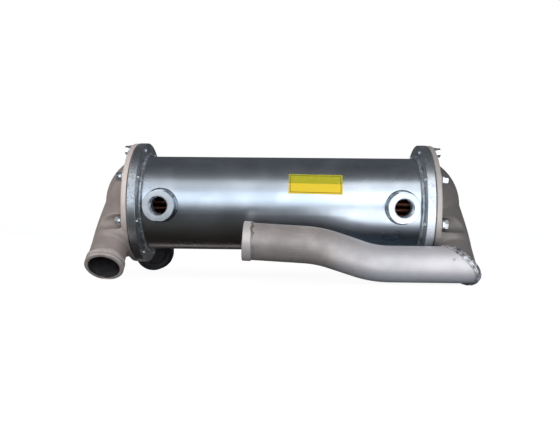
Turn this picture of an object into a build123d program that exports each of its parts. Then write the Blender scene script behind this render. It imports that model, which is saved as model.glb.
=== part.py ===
from build123d import *
from math import acos, cos, hypot, radians, sin, sqrt, tan
import os

# Shell-and-tube oil cooler. Millimetres, +Z up, shell centre line along X.
# The origin is on that centre line, midway between the flanges. The oil ports look along -Y.

# Shell and its welded ring flanges
SHELL_OD = 152.0
SHELL_WALL = 3.5
FLANGE_GAP = 438.0
FLANGE_LAND = 21.5
FLANGE_THICK = 13.0
FLANGE_EDGE = 0.8
FLANGE_WELD_LEG = 6.0
SLIP_PLAY = 0.05

# Oil ports: threaded bosses welded to the shell, dipping a little below the level
PORT_X = 185.0
PORT_PROUD = 20.0
PORT_SADDLE_DEPTH = 10.0
PORT_DIP = 4.0
PORT_OD = 48.5
PORT_FLATS = 45.0
PORT_FLAT_DEPTH = 12.0
PORT_BORE_D = 27.8
PORT_CHAMFER = 0.8
PORT_LEAD = 1.4
PORT_WELD_LEG = 3.0

# Copper tube bundle with its sheets, baffles and tie rods
TUBE_OD = 8.0
TUBE_WALL = 0.75
TUBE_PITCH = 10.6
TUBE_MARGIN = 2.5
TUBE_PROUD = 1.0
TUBE_HOLE_PLAY = 0.05
SHEET_THICK = 8.0
BAFFLE_COUNT = 5
BAFFLE_SPACING = 73.0
BAFFLE_THICK = 2.0
BAFFLE_CUT = 38.0
BAFFLE_RIM_PLAY = 0.4
BAFFLE_HOLE_PLAY = 0.15
ROD_D = 6.0
ROD_RING = 3
ROD_SEAT_DEPTH = 5.0
ROD_PROUD = 9.0
ROD_NUT_AF = 10.0
ROD_NUT_H = 5.0
SPACER_WALL = 1.5

# End covers: flange, dome, hood and hose stub, cast in one piece
GASKET_THICK = 1.0
GASKET_INSET = 1.0
GASKET_LAP = 1.0
COVER_INSET = 0.5
COVER_FLANGE_THICK = 8.5
DOME_OVERSIZE = 5.0
DOME_PROUD = 46.9
COVER_WALL = 5.0
COVER_CHAMFER = 1.2
HOOD_ROOT_X = 241.0
HOOD_ROOT_REACH = 20.0
HOOD_ROOT_DEEP = 47.0
HOOD_ROOT_WIDE = 48.0
HOOD_BODY_REACH = 68.0
HOOD_BODY_DEEP = 50.0
HOOD_BODY_WIDE = 43.0

# Hose stubs and the return pipe
HOSE_OD = 55.0
STUB_WALL = 4.0
STUB_ANGLE = 225.0
STUB_SPLAY = 0.7
BEAD_OD = 58.5
BEAD_ROUND = 1.5
STUB_BEAD_LENGTH = 14.0
MITRE_X = 264.0
PIPE_CLEARANCE = 2.5
PIPE_WALL = 3.5
PIPE_END_X = -54.5
PIPE_END_ANGLE = 206.95
PIPE_END_INSET = 2.0
PIPE_UPPER_CORNER_X = 57.1
PIPE_UPPER_CORNER_ANGLE = 209.5
PIPE_UPPER_CORNER_INSET = 0.2
PIPE_LOWER_CORNER_X = 140.4
PIPE_BEND_RADIUS = 122.0
PIPE_BEAD_LENGTH = 13.0
MITRE_WELD_R = 2.2

# Cover screws: M8 with spring and flat washers, tips through the tapped ring flange
BOLT_COUNT = 8
BOLT_PHASE = 20.0
BOLT_EDGE = 9.0
BOLT_D = 8.0
BOLT_LENGTH = 30.0
BOLT_HEAD_AF = 13.0
BOLT_HEAD_H = 5.3
BOLT_TIP_CHAMFER = 1.0
HEX_END_SHARE = 0.96
THREAD_PLAY = 0.05
BOLT_HOLE_D = 9.0
PAD_D = 17.0
PAD_PROUD = 1.5
POCKET_D = 23.0
STUD_INDEX = 5
STUD_COVER_DEPTH = 6.5
FLAT_WASHER_OD = 16.0
FLAT_WASHER_ID = 8.4
FLAT_WASHER_THICK = 1.6
SPRING_WASHER_OD = 14.6
SPRING_WASHER_ID = 8.2
SPRING_WASHER_THICK = 2.0
SPRING_WASHER_SLIT = 1.4

# Label on the shell, and the rubber foot behind the left flange
LABEL_WIDTH = 83.0
LABEL_HEIGHT = 33.4
LABEL_THICK = 0.4
LABEL_LIFT = 0.1
LABEL_X = 52.8
LABEL_RISE = 23.2
LABEL_TURN = 0.9
FOOT_X = -231.0
FOOT_CLEARANCE = 1.4
FOOT_OD = 65.4
FOOT_LENGTH = 26.0
FOOT_RIM = 5.0
FOOT_RECESS = 3.0
FOOT_DISC_D = 28.0
FOOT_DISC_THICK = 3.0
FOOT_STUD_D = 10.0
FOOT_STUD_LENGTH = 18.0
FOOT_NUT_AF = 17.0
FOOT_NUT_H = 8.0
FOOT_WASHER_OD = 20.0
FOOT_WASHER_THICK = 2.0
BRACKET_THICK = 5.0
BRACKET_WIDTH = 40.0
BRACKET_RISE = 44.0
BRACKET_DROP = 22.0
BRACKET_WELD_R = 3.0

# Sizes that follow from the ones above
SHELL_R = SHELL_OD / 2
SHELL_BORE_R = SHELL_R - SHELL_WALL
FLANGE_R = SHELL_R + FLANGE_LAND
BOLT_CIRCLE_R = FLANGE_R - BOLT_EDGE
PORT_REACH = SHELL_R + PORT_PROUD
FLANGE_INNER_X = FLANGE_GAP / 2
FLANGE_OUTER_X = FLANGE_INNER_X + FLANGE_THICK
COVER_BACK_X = FLANGE_OUTER_X + GASKET_THICK
COVER_FACE_X = COVER_BACK_X + COVER_FLANGE_THICK
PAD_FACE_X = COVER_FACE_X + PAD_PROUD
DOME_RADIUS = SHELL_R + DOME_OVERSIZE
DOME_CENTRE_X = COVER_FACE_X + DOME_PROUD - DOME_RADIUS
HOSE_R = HOSE_OD / 2
STUB_BORE_R = HOSE_R - STUB_WALL
BEAD_R = BEAD_OD / 2
BOLT_ANGLES = [BOLT_PHASE + 360.0 / BOLT_COUNT * index for index in range(BOLT_COUNT)]
STUD_ANGLE = BOLT_ANGLES[STUD_INDEX]
SCREW_ANGLES = [angle for angle in BOLT_ANGLES if angle != STUD_ANGLE]
STUB_OUTWARD = (cos(radians(STUB_ANGLE)), sin(radians(STUB_ANGLE)))
STUB_DIRECTION = Vector(
    sin(radians(STUB_SPLAY)),
    cos(radians(STUB_SPLAY)) * STUB_OUTWARD[0],
    cos(radians(STUB_SPLAY)) * STUB_OUTWARD[1],
)
MITRE_REACH = FLANGE_R + PIPE_CLEARANCE + HOSE_R
PIPE_Y = MITRE_REACH * STUB_OUTWARD[0]
PIPE_Z = MITRE_REACH * STUB_OUTWARD[1]
MITRE_POINT = Vector(MITRE_X, PIPE_Y, PIPE_Z)
NECK_POINT = MITRE_POINT - STUB_DIRECTION * HOSE_R
PIPE_DIRECTION = Vector(-1, 0, 0)
FLOOR_Z = PIPE_Z - HOSE_R - MITRE_WELD_R
FOOT_CENTRE_Z = FLOOR_Z + FOOT_OD / 2
FOOT_TOP_Z = FOOT_CENTRE_Z + FOOT_OD / 2
FOOT_FACE_Y = sqrt((FLANGE_R + FOOT_CLEARANCE) ** 2 - FOOT_TOP_Z ** 2)
FOOT_BACK_Y = FOOT_FACE_Y + FOOT_LENGTH
BRACKET_TOP_Z = FOOT_CENTRE_Z + BRACKET_RISE
BAFFLE_XS = [BAFFLE_SPACING * (index - (BAFFLE_COUNT - 1) / 2) for index in range(BAFFLE_COUNT)]


def ring_point(radius, angle):
    """Y and Z of a point on a circle about the shell's centre line."""
    return radius * cos(radians(angle)), radius * sin(radians(angle))


def rod_x(radius, x_start, x_end, y=0.0, z=0.0):
    """A cylinder along X."""
    return Pos((x_start + x_end) / 2, y, z) * Rot(0, 90, 0) * Cylinder(radius, abs(x_end - x_start))


def rod_y(radius, y_start, y_end, x=0.0, z=0.0):
    """A cylinder along Y."""
    return Pos(x, (y_start + y_end) / 2, z) * Rot(90, 0, 0) * Cylinder(radius, abs(y_end - y_start))


def rod_between(radius, start, direction, length):
    """A cylinder that starts at a point and runs along a direction."""
    return Plane(origin=start, z_dir=direction) * Pos(0, 0, length / 2) * Cylinder(radius, length)


def hex_prism_x(across_flats, x_start, x_end):
    """A hexagonal prism along X, its far corners turned off at thirty degrees."""
    length = x_end - x_start
    hexagon = RegularPolygon(across_flats / 2, 6, major_radius=False)
    prism = Pos(x_start, 0, 0) * Rot(0, 90, 0) * extrude(hexagon, length)
    end_r = across_flats / 2 * HEX_END_SHARE
    start_r = end_r + length / tan(radians(30))
    turned = Pos((x_start + x_end) / 2, 0, 0) * Rot(0, 90, 0) * Cone(start_r, end_r, length)
    return prism & turned


def bore_for_thread(diameter, x_start, x_end):
    """The hole that takes a screw thread of this diameter, along X."""
    return rod_x(diameter / 2 + THREAD_PLAY, x_start, x_end)


def on_circle(shape, angles, radius=BOLT_CIRCLE_R):
    """Copies of a shape set round the shell's centre line."""
    return [Pos(0, *ring_point(radius, angle)) * shape for angle in angles]


def make_shell():
    """Rolled steel tube with a hole under each port."""
    tube = rod_x(SHELL_R, -FLANGE_OUTER_X, FLANGE_OUTER_X)
    tube -= rod_x(SHELL_BORE_R, -FLANGE_OUTER_X, FLANGE_OUTER_X)
    for side in (-1, 1):
        tube -= Rot(PORT_DIP, 0, 0) * rod_y(PORT_BORE_D / 2, -PORT_REACH, 0, x=side * PORT_X)
    return tube


def make_flange():
    """Right ring flange, bored for the shell and tapped for the cover screws."""
    ring = rod_x(FLANGE_R, FLANGE_INNER_X, FLANGE_OUTER_X)
    ring = chamfer(ring.edges().filter_by(GeomType.CIRCLE), FLANGE_EDGE)
    ring -= rod_x(SHELL_R + SLIP_PLAY, FLANGE_INNER_X, FLANGE_OUTER_X)
    ring -= on_circle(bore_for_thread(BOLT_D, FLANGE_INNER_X, FLANGE_OUTER_X), BOLT_ANGLES)
    return ring


def make_flange_weld():
    """Fillet weld in the corner between shell and right flange."""
    leg = FLANGE_WELD_LEG
    with BuildSketch(Plane.XZ) as section:
        with BuildLine():
            corner = (FLANGE_INNER_X, SHELL_R)
            tip_on_shell = (FLANGE_INNER_X - leg, SHELL_R)
            tip_on_flange = (FLANGE_INNER_X, SHELL_R + leg)
            Line(corner, tip_on_shell)
            ThreePointArc(
                tip_on_shell,
                (FLANGE_INNER_X - leg * 0.58, SHELL_R + leg * 0.58),
                tip_on_flange,
            )
            Line(tip_on_flange, corner)
        make_face()
    return revolve(section.sketch, Axis.X)


def make_port_boss():
    """Right port boss: a saddle on the shell, two spanner flats and the threaded bore."""
    outer = rod_y(PORT_OD / 2, -PORT_REACH, -SHELL_R + PORT_SADDLE_DEPTH)
    outer = chamfer(outer.edges().filter_by(GeomType.CIRCLE).sort_by(Axis.Y)[0], PORT_CHAMFER)
    flat_y = -PORT_REACH + PORT_FLAT_DEPTH / 2
    for side in (-1, 1):
        cut_z = side * (PORT_FLATS + PORT_OD) / 2
        outer -= Pos(0, flat_y, cut_z) * Box(PORT_OD, PORT_FLAT_DEPTH, PORT_OD)
    bore = rod_y(PORT_BORE_D / 2, -PORT_REACH, 0)
    boss = outer - bore
    mouth = boss.edges().filter_by(GeomType.CIRCLE).filter_by(lambda e: abs(e.radius - PORT_BORE_D / 2) < 0.01)
    boss = chamfer(mouth.sort_by(Axis.Y)[0], PORT_LEAD)
    boss = Pos(PORT_X, 0, 0) * Rot(PORT_DIP, 0, 0) * boss
    return boss - rod_x(SHELL_R, 0, FLANGE_GAP / 2)


def make_port_weld():
    """Right port's weld: a sloping collar in the corner between boss and shell."""
    boss_r = PORT_OD / 2
    leg = PORT_WELD_LEG
    slope = Cone(boss_r + 2 * leg, boss_r, 2 * leg)
    collar = Pos(0, -SHELL_R, 0) * Rot(90, 0, 0) * slope
    collar -= rod_y(boss_r, -PORT_REACH, 0)
    collar = Pos(PORT_X, 0, 0) * Rot(PORT_DIP, 0, 0) * collar
    return collar - rod_x(SHELL_R, 0, FLANGE_GAP / 2)


def tube_grid():
    """Tube and tie rod places on a triangular pitch: lists of (y, z)."""
    row_step = TUBE_PITCH * sqrt(3) / 2
    limit = SHELL_BORE_R - TUBE_OD / 2 - TUBE_MARGIN
    rows = int(limit / row_step)
    rods = [ring_point(TUBE_PITCH * ROD_RING, angle) for angle in (60, 120, 240, 300)]
    tubes = []
    for row in range(-rows, rows + 1):
        shift = TUBE_PITCH / 2 if row % 2 else 0.0
        columns = int(limit / TUBE_PITCH) + 1
        for column in range(-columns, columns + 1):
            y = column * TUBE_PITCH + shift
            z = row * row_step
            is_rod = any(hypot(y - rod_y_, z - rod_z) < 1 for rod_y_, rod_z in rods)
            if hypot(y, z) <= limit and not is_rod:
                tubes.append((y, z))
    return tubes, rods


def make_tube_sheet(tubes):
    """Right tube sheet, drilled for the tubes and flush with the flange."""
    sheet = rod_x(SHELL_BORE_R - SLIP_PLAY, FLANGE_OUTER_X - SHEET_THICK, FLANGE_OUTER_X)
    hole = rod_x(TUBE_OD / 2 + TUBE_HOLE_PLAY, FLANGE_OUTER_X - SHEET_THICK, FLANGE_OUTER_X)
    return sheet - [Pos(0, y, z) * hole for y, z in tubes]


def make_left_tube_sheet(right_sheet, rods):
    """Left tube sheet, with blind seats for the tie rods."""
    sheet = mirror(right_sheet, Plane.YZ)
    inner_x = -FLANGE_OUTER_X + SHEET_THICK
    seat = bore_for_thread(ROD_D, inner_x - ROD_SEAT_DEPTH, inner_x)
    return sheet - [Pos(0, y, z) * seat for y, z in rods]


def make_tubes(tubes):
    """The copper tubes, open at both ends."""
    reach = FLANGE_OUTER_X + TUBE_PROUD
    tube = rod_x(TUBE_OD / 2, -reach, reach) - rod_x(TUBE_OD / 2 - TUBE_WALL, -reach, reach)
    return [Pos(0, y, z) * tube for y, z in tubes]


def make_baffle(index, tubes, rods):
    """One segmental baffle; neighbours are cut away on opposite sides."""
    x = BAFFLE_XS[index]
    start = x - BAFFLE_THICK / 2
    end = x + BAFFLE_THICK / 2
    side = 1 if index % 2 == 0 else -1
    radius = SHELL_BORE_R - BAFFLE_RIM_PLAY
    plate = rod_x(radius, start, end)
    plate -= Pos(x, 0, side * (BAFFLE_CUT + radius)) * Box(BAFFLE_THICK, 2 * radius, 2 * radius)
    tube_hole = rod_x(TUBE_OD / 2 + BAFFLE_HOLE_PLAY, start, end)
    rod_hole = rod_x(ROD_D / 2 + BAFFLE_HOLE_PLAY, start, end)
    plate -= [Pos(0, y, z) * tube_hole for y, z in tubes]
    return plate - [Pos(0, y, z) * rod_hole for y, z in rods]


def make_tie_rods(rods):
    """Four rods from the left sheet to past the last baffle."""
    start = -FLANGE_OUTER_X + SHEET_THICK - ROD_SEAT_DEPTH
    end = BAFFLE_XS[-1] + BAFFLE_THICK / 2 + ROD_PROUD
    return [Pos(0, y, z) * rod_x(ROD_D / 2, start, end) for y, z in rods]


def make_spacers(rods):
    """Spacer tubes on the rods, between the left sheet and each baffle."""
    stops = [-FLANGE_OUTER_X + SHEET_THICK - BAFFLE_THICK / 2] + BAFFLE_XS
    inner_r = ROD_D / 2 + BAFFLE_HOLE_PLAY
    spacers = []
    for left, right in zip(stops[:-1], stops[1:]):
        start = left + BAFFLE_THICK / 2
        end = right - BAFFLE_THICK / 2
        spacer = rod_x(inner_r + SPACER_WALL, start, end) - rod_x(inner_r, start, end)
        spacers += [Pos(0, y, z) * spacer for y, z in rods]
    return spacers


def make_rod_nuts(rods):
    """Hexagon nuts that hold the last baffle."""
    start = BAFFLE_XS[-1] + BAFFLE_THICK / 2
    nut = hex_prism_x(ROD_NUT_AF, start, start + ROD_NUT_H)
    nut -= bore_for_thread(ROD_D, start, start + ROD_NUT_H)
    return [Pos(0, y, z) * nut for y, z in rods]


def make_gasket():
    """Flat ring gasket between right flange and cover."""
    ring = rod_x(FLANGE_R - GASKET_INSET, FLANGE_OUTER_X, COVER_BACK_X)
    ring -= rod_x(SHELL_R - GASKET_LAP, FLANGE_OUTER_X, COVER_BACK_X)
    return ring - on_circle(rod_x(BOLT_HOLE_D / 2, FLANGE_OUTER_X, COVER_BACK_X), BOLT_ANGLES)


def hood_sections(inset):
    """Sections that run from inside the dome to the round stub, drawn in by the wall."""
    root_y, root_z = ring_point(HOOD_ROOT_REACH, STUB_ANGLE)
    body_y, body_z = ring_point(HOOD_BODY_REACH, STUB_ANGLE)
    outward = Vector(0, *STUB_OUTWARD)
    inward = Vector(1, 0, 0)
    root_plane = Plane(origin=(HOOD_ROOT_X, root_y, root_z), x_dir=inward, z_dir=outward)
    body_plane = Plane(origin=(HOOD_ROOT_X, body_y, body_z), x_dir=inward, z_dir=outward)
    neck_plane = Plane(origin=NECK_POINT, x_dir=inward, z_dir=STUB_DIRECTION)
    return [
        root_plane * Ellipse(HOOD_ROOT_DEEP - inset, HOOD_ROOT_WIDE - inset),
        body_plane * Ellipse(HOOD_BODY_DEEP - inset, HOOD_BODY_WIDE - inset),
        neck_plane * Circle(HOSE_R - inset),
    ]


def dome_solid(radius):
    """A ball's cap, turned about the shell's centre line, that stands on the cover's back face."""
    depth = COVER_BACK_X - DOME_CENTRE_X
    base_r = sqrt(radius ** 2 - depth ** 2)
    middle = acos(depth / radius) / 2
    with BuildSketch(Plane.XZ) as profile:
        with BuildLine():
            base = (COVER_BACK_X, base_r)
            arc_middle = (DOME_CENTRE_X + radius * cos(middle), radius * sin(middle))
            crown = (DOME_CENTRE_X + radius, 0)
            Line((COVER_BACK_X, 0), base)
            ThreePointArc(base, arc_middle, crown)
            Line(crown, (COVER_BACK_X, 0))
        make_face()
    return revolve(profile.sketch, Axis.X)


def hood_solid(inset):
    """The hood between dome and stub, kept on the cover's side of the gasket."""
    behind = Pos(COVER_BACK_X - DOME_RADIUS, 0, 0) * Box(2 * DOME_RADIUS, 4 * DOME_RADIUS, 4 * DOME_RADIUS)
    return loft(hood_sections(inset)) - behind


def make_cover_casting(stub):
    """Right cover as cast, with the stub it is given, before it is hollowed."""
    casting = rod_x(FLANGE_R - COVER_INSET, COVER_BACK_X, COVER_FACE_X)
    casting = chamfer(casting.edges().filter_by(GeomType.CIRCLE).sort_by(Axis.X)[-1], COVER_CHAMFER)
    casting += dome_solid(DOME_RADIUS)
    casting += hood_solid(0.0)
    casting += on_circle(rod_x(PAD_D / 2, COVER_BACK_X, PAD_FACE_X), SCREW_ANGLES)
    return casting + stub


def hollow_cover(casting, stub_length):
    """Water space, screw pockets and screw holes of a right cover."""
    pocket_end = PAD_FACE_X + DOME_RADIUS
    pocket_wall = rod_x(POCKET_D / 2 + COVER_WALL, COVER_BACK_X, pocket_end)
    water = dome_solid(DOME_RADIUS - COVER_WALL) + hood_solid(COVER_WALL)
    casting -= water - on_circle(pocket_wall, SCREW_ANGLES)
    casting -= rod_between(STUB_BORE_R, NECK_POINT, STUB_DIRECTION, stub_length)
    casting -= on_circle(rod_x(POCKET_D / 2, PAD_FACE_X, pocket_end), SCREW_ANGLES)
    casting -= on_circle(rod_x(BOLT_HOLE_D / 2, COVER_BACK_X, PAD_FACE_X), SCREW_ANGLES)
    stud_seat = bore_for_thread(BOLT_D, COVER_BACK_X, COVER_BACK_X + STUD_COVER_DEPTH)
    return casting - on_circle(stud_seat, [STUD_ANGLE])


def bead_band(start, direction, length):
    """A raised hose bead with rounded rims, solid, from a start point along a direction."""
    band = rod_between(BEAD_R, start, direction, length)
    return fillet(band.edges().filter_by(GeomType.CIRCLE), BEAD_ROUND)


def left_stub_length():
    """Length past the neck that lets the left stub's bead rest on the floor."""
    steep = -STUB_DIRECTION.Z
    level = sqrt(1 - steep ** 2)
    end_z = FLOOR_Z + BEAD_R * level - BEAD_ROUND * (steep + level - 1)
    return (NECK_POINT.Z - end_z) / steep


def make_left_cover():
    """Left cover, mirrored from the right one, with a beaded open hose stub."""
    length = left_stub_length()
    stub = rod_between(HOSE_R, NECK_POINT, STUB_DIRECTION, length)
    bead_start = NECK_POINT + STUB_DIRECTION * (length - STUB_BEAD_LENGTH)
    stub += bead_band(bead_start, STUB_DIRECTION, STUB_BEAD_LENGTH)
    return mirror(hollow_cover(make_cover_casting(stub), length), Plane.YZ)


def mitre_plane():
    """The plane of the welded joint between right stub and return pipe."""
    major = (STUB_DIRECTION - PIPE_DIRECTION).normalized()
    normal = (STUB_DIRECTION + PIPE_DIRECTION).normalized()
    return Plane(origin=MITRE_POINT, x_dir=major, z_dir=normal)


def beyond_mitre(side):
    """Half space past the mitre, on the pipe's side (1) or the stub's side (-1)."""
    reach = 2 * HOSE_OD
    return mitre_plane() * Pos(0, 0, side * reach / 2) * Box(2 * reach, 2 * reach, reach)


def make_right_cover():
    """Right cover, its stub cut at the mitre for the return pipe."""
    length = 2 * HOSE_OD
    stub = rod_between(HOSE_R, NECK_POINT, STUB_DIRECTION, length) - beyond_mitre(1)
    return hollow_cover(make_cover_casting(stub), length)


def pipe_path():
    """Centre line of the return pipe, run on past the mitre."""
    end = (PIPE_END_X, *ring_point(MITRE_REACH - PIPE_END_INSET, PIPE_END_ANGLE))
    upper_reach = MITRE_REACH - PIPE_UPPER_CORNER_INSET
    upper_corner = (PIPE_UPPER_CORNER_X, *ring_point(upper_reach, PIPE_UPPER_CORNER_ANGLE))
    lower_corner = (PIPE_LOWER_CORNER_X, PIPE_Y, PIPE_Z)
    past_mitre = (MITRE_X + HOSE_OD, PIPE_Y, PIPE_Z)
    return FilletPolyline(end, upper_corner, lower_corner, past_mitre, radius=PIPE_BEND_RADIUS)


def make_return_pipe(cover):
    """S-bent aluminium pipe with a hose bead at its free end, fitted to the right cover."""
    path = pipe_path()
    start = Plane(origin=path @ 0, z_dir=path % 0)
    pipe = sweep(start * Circle(HOSE_R), path=path)
    pipe += bead_band(path @ 0, path % 0, PIPE_BEAD_LENGTH)
    pipe -= sweep(start * Circle(HOSE_R - PIPE_WALL), path=path)
    return pipe - beyond_mitre(-1) - cover


def make_mitre_weld(pipe, cover):
    """Weld bead round the mitre, standing proud of pipe and stub."""
    half_turn = acos(STUB_DIRECTION.dot(PIPE_DIRECTION)) / 2
    seam = Edge.make_ellipse(HOSE_R / cos(half_turn), HOSE_R, mitre_plane())
    start = Plane(origin=seam @ 0, z_dir=seam % 0)
    bead = sweep(start * Circle(MITRE_WELD_R), path=seam)
    bore = rod_between(HOSE_R, MITRE_POINT - STUB_DIRECTION * HOSE_OD, STUB_DIRECTION, 2 * HOSE_OD)
    bore = bore - beyond_mitre(1)
    bore += rod_x(HOSE_R, MITRE_X - 2 * HOSE_OD, MITRE_X + HOSE_OD, PIPE_Y, PIPE_Z) - beyond_mitre(-1)
    return bead - bore - pipe - cover


def make_screws():
    """Right cover screws: hexagon heads outside, tips just through the flange."""
    seat_x = PAD_FACE_X + FLAT_WASHER_THICK + SPRING_WASHER_THICK
    shank = rod_x(BOLT_D / 2, seat_x - BOLT_LENGTH, seat_x)
    shank = chamfer(shank.edges().filter_by(GeomType.CIRCLE).sort_by(Axis.X)[0], BOLT_TIP_CHAMFER)
    return on_circle(shank + hex_prism_x(BOLT_HEAD_AF, seat_x, seat_x + BOLT_HEAD_H), SCREW_ANGLES)


def make_stud():
    """Right blind stud, screwed into the cover where the hood leaves no room for a head."""
    seat_x = PAD_FACE_X + FLAT_WASHER_THICK + SPRING_WASHER_THICK
    stud = rod_x(BOLT_D / 2, seat_x - BOLT_LENGTH, COVER_BACK_X + STUD_COVER_DEPTH)
    stud = chamfer(stud.edges().filter_by(GeomType.CIRCLE).sort_by(Axis.X)[0], BOLT_TIP_CHAMFER)
    return on_circle(stud, [STUD_ANGLE])


def make_flat_washers():
    """Flat washers on the right cover's pads."""
    start = PAD_FACE_X
    end = start + FLAT_WASHER_THICK
    washer = rod_x(FLAT_WASHER_OD / 2, start, end) - rod_x(FLAT_WASHER_ID / 2, start, end)
    return on_circle(washer, SCREW_ANGLES)


def make_spring_washers():
    """Split spring washers, pressed flat under the right screws' heads."""
    start = PAD_FACE_X + FLAT_WASHER_THICK
    end = start + SPRING_WASHER_THICK
    washer = rod_x(SPRING_WASHER_OD / 2, start, end) - rod_x(SPRING_WASHER_ID / 2, start, end)
    slit_z = SPRING_WASHER_OD / 2
    slit = Box(2 * SPRING_WASHER_THICK, SPRING_WASHER_SLIT, slit_z)
    washer -= Pos((start + end) / 2, 0, slit_z / 2) * Rot(0, 0, 20) * slit
    return on_circle(washer, SCREW_ANGLES)


def make_label():
    """Thin label that follows the shell's curve, turned a little."""
    back_r = SHELL_R + LABEL_LIFT
    skin = rod_x(back_r + LABEL_THICK, 0, FLANGE_GAP / 2) - rod_x(back_r, 0, FLANGE_GAP / 2)
    chord = 2 * SHELL_R * sin(LABEL_HEIGHT / SHELL_R / 2)
    window = Pos(0, -SHELL_R, 0) * Rot(0, LABEL_TURN, 0) * Box(LABEL_WIDTH, SHELL_R, chord)
    window = Pos(LABEL_X, 0, 0) * Rot(-LABEL_RISE, 0, 0) * window
    return skin & window


def make_foot_buffer():
    """Round rubber foot, its face dished inside a rim, moulded round the stud's disc."""
    foot_r = FOOT_OD / 2
    dish_r = foot_r - FOOT_RIM
    buffer = rod_y(foot_r, FOOT_FACE_Y, FOOT_BACK_Y)
    buffer = fillet(buffer.edges().filter_by(GeomType.CIRCLE), BEAD_ROUND)
    buffer -= rod_y(dish_r, FOOT_FACE_Y, FOOT_FACE_Y + FOOT_RECESS)
    step_r = dish_r - FOOT_RIM
    step = rod_y(step_r, FOOT_FACE_Y + FOOT_RECESS / 2, FOOT_FACE_Y + FOOT_RECESS)
    step -= rod_y(step_r - FOOT_RIM / 3, FOOT_FACE_Y, FOOT_FACE_Y + FOOT_RECESS)
    buffer += step
    buffer -= rod_y(FOOT_DISC_D / 2, FOOT_BACK_Y - FOOT_DISC_THICK, FOOT_BACK_Y)
    return Pos(FOOT_X, 0, FOOT_CENTRE_Z) * buffer


def make_foot_stud():
    """Steel disc and threaded stud bonded into the foot."""
    disc = rod_y(FOOT_DISC_D / 2, FOOT_BACK_Y - FOOT_DISC_THICK, FOOT_BACK_Y)
    disc += rod_y(FOOT_STUD_D / 2, FOOT_BACK_Y, FOOT_BACK_Y + FOOT_STUD_LENGTH)
    return Pos(FOOT_X, 0, FOOT_CENTRE_Z) * disc


def make_bracket():
    """Angle bracket from the left flange's rim down behind the foot."""
    back_y = FOOT_BACK_Y + BRACKET_THICK
    bottom_z = FOOT_CENTRE_Z - BRACKET_DROP
    plate_height = BRACKET_TOP_Z - bottom_z
    plate = Pos(FOOT_X, FOOT_BACK_Y + BRACKET_THICK / 2, BRACKET_TOP_Z - plate_height / 2)
    bracket = plate * Box(BRACKET_WIDTH, BRACKET_THICK, plate_height)
    arm = Pos(FOOT_X, back_y / 2, BRACKET_TOP_Z - BRACKET_THICK / 2)
    bracket += arm * Box(BRACKET_WIDTH, back_y, BRACKET_THICK)
    bracket -= rod_x(FLANGE_R, -2 * FLANGE_GAP, 0)
    hole_r = FOOT_STUD_D / 2 + 0.25
    return bracket - rod_y(hole_r, FOOT_BACK_Y, back_y, x=FOOT_X, z=FOOT_CENTRE_Z)


def make_bracket_weld(bracket):
    """Weld beads above and below the bracket's arm on the flange's rim."""
    beads = []
    for seam_z in (BRACKET_TOP_Z, BRACKET_TOP_Z - BRACKET_THICK):
        seam_y = sqrt(FLANGE_R ** 2 - seam_z ** 2)
        bead = rod_x(BRACKET_WELD_R, -FLANGE_OUTER_X + 1, -FLANGE_INNER_X - 1, seam_y, seam_z)
        beads.append(bead - rod_x(FLANGE_R, -2 * FLANGE_GAP, 0) - bracket)
    return beads


def make_foot_washer():
    """Flat washer behind the bracket."""
    start = FOOT_BACK_Y + BRACKET_THICK
    end = start + FOOT_WASHER_THICK
    washer = rod_y(FOOT_WASHER_OD / 2, start, end) - rod_y(FOOT_STUD_D / 2 + 0.25, start, end)
    return Pos(FOOT_X, 0, FOOT_CENTRE_Z) * washer


def make_foot_nut():
    """Hexagon nut on the foot's stud."""
    nut = hex_prism_x(FOOT_NUT_AF, 0, FOOT_NUT_H) - bore_for_thread(FOOT_STUD_D, 0, FOOT_NUT_H)
    start = FOOT_BACK_Y + BRACKET_THICK + FOOT_WASHER_THICK
    return Pos(FOOT_X, start, FOOT_CENTRE_Z) * Rot(0, 0, 90) * nut


def save(name, shape):
    """Write one node, a single solid or a group of separate ones."""
    if isinstance(shape, list):
        solids = [solid for piece in shape for solid in piece.solids()]
        shape = Compound(children=solids) if len(solids) > 1 else solids[0]
    export_step(shape, f"parts/{name}.step")


def save_pair(name, right_shape):
    """Write a right node and its mirrored left twin."""
    pieces = right_shape if isinstance(right_shape, list) else [right_shape]
    save(f"right_{name}", pieces)
    save(f"left_{name}", [mirror(piece, Plane.YZ) for piece in pieces])


def main():
    """Build every piece and write it to its own file."""
    os.makedirs("parts", exist_ok=True)
    tubes, rods = tube_grid()
    sheet = make_tube_sheet(tubes)
    right_cover = make_right_cover()
    return_pipe = make_return_pipe(right_cover)
    bracket = make_bracket()
    save("shell", make_shell())
    save_pair("flange", make_flange())
    save_pair("flange_weld", make_flange_weld())
    save_pair("port_boss", make_port_boss())
    save_pair("port_weld", make_port_weld())
    save("right_tube_sheet", sheet)
    save("left_tube_sheet", make_left_tube_sheet(sheet, rods))
    save("copper_tubes", make_tubes(tubes))
    for index in range(BAFFLE_COUNT):
        save(f"baffle_{index + 1}", make_baffle(index, tubes, rods))
    save("tie_rods", make_tie_rods(rods))
    save("tie_rod_spacers", make_spacers(rods))
    save("tie_rod_nuts", make_rod_nuts(rods))
    save_pair("gasket", make_gasket())
    save("left_end_cover", make_left_cover())
    save("right_end_cover", right_cover)
    save_pair("cover_screws", make_screws())
    save_pair("cover_stud", make_stud())
    save_pair("flat_washers", make_flat_washers())
    save_pair("spring_washers", make_spring_washers())
    save("return_pipe", return_pipe)
    save("return_pipe_weld", make_mitre_weld(return_pipe, right_cover))
    save("label", make_label())
    save("rear_foot_bracket", bracket)
    save("rear_foot_bracket_weld", make_bracket_weld(bracket))
    save("rear_foot_buffer", make_foot_buffer())
    save("rear_foot_stud", make_foot_stud())
    save("rear_foot_washer", make_foot_washer())
    save("rear_foot_nut", make_foot_nut())


if __name__ == "__main__":
    main()
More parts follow.
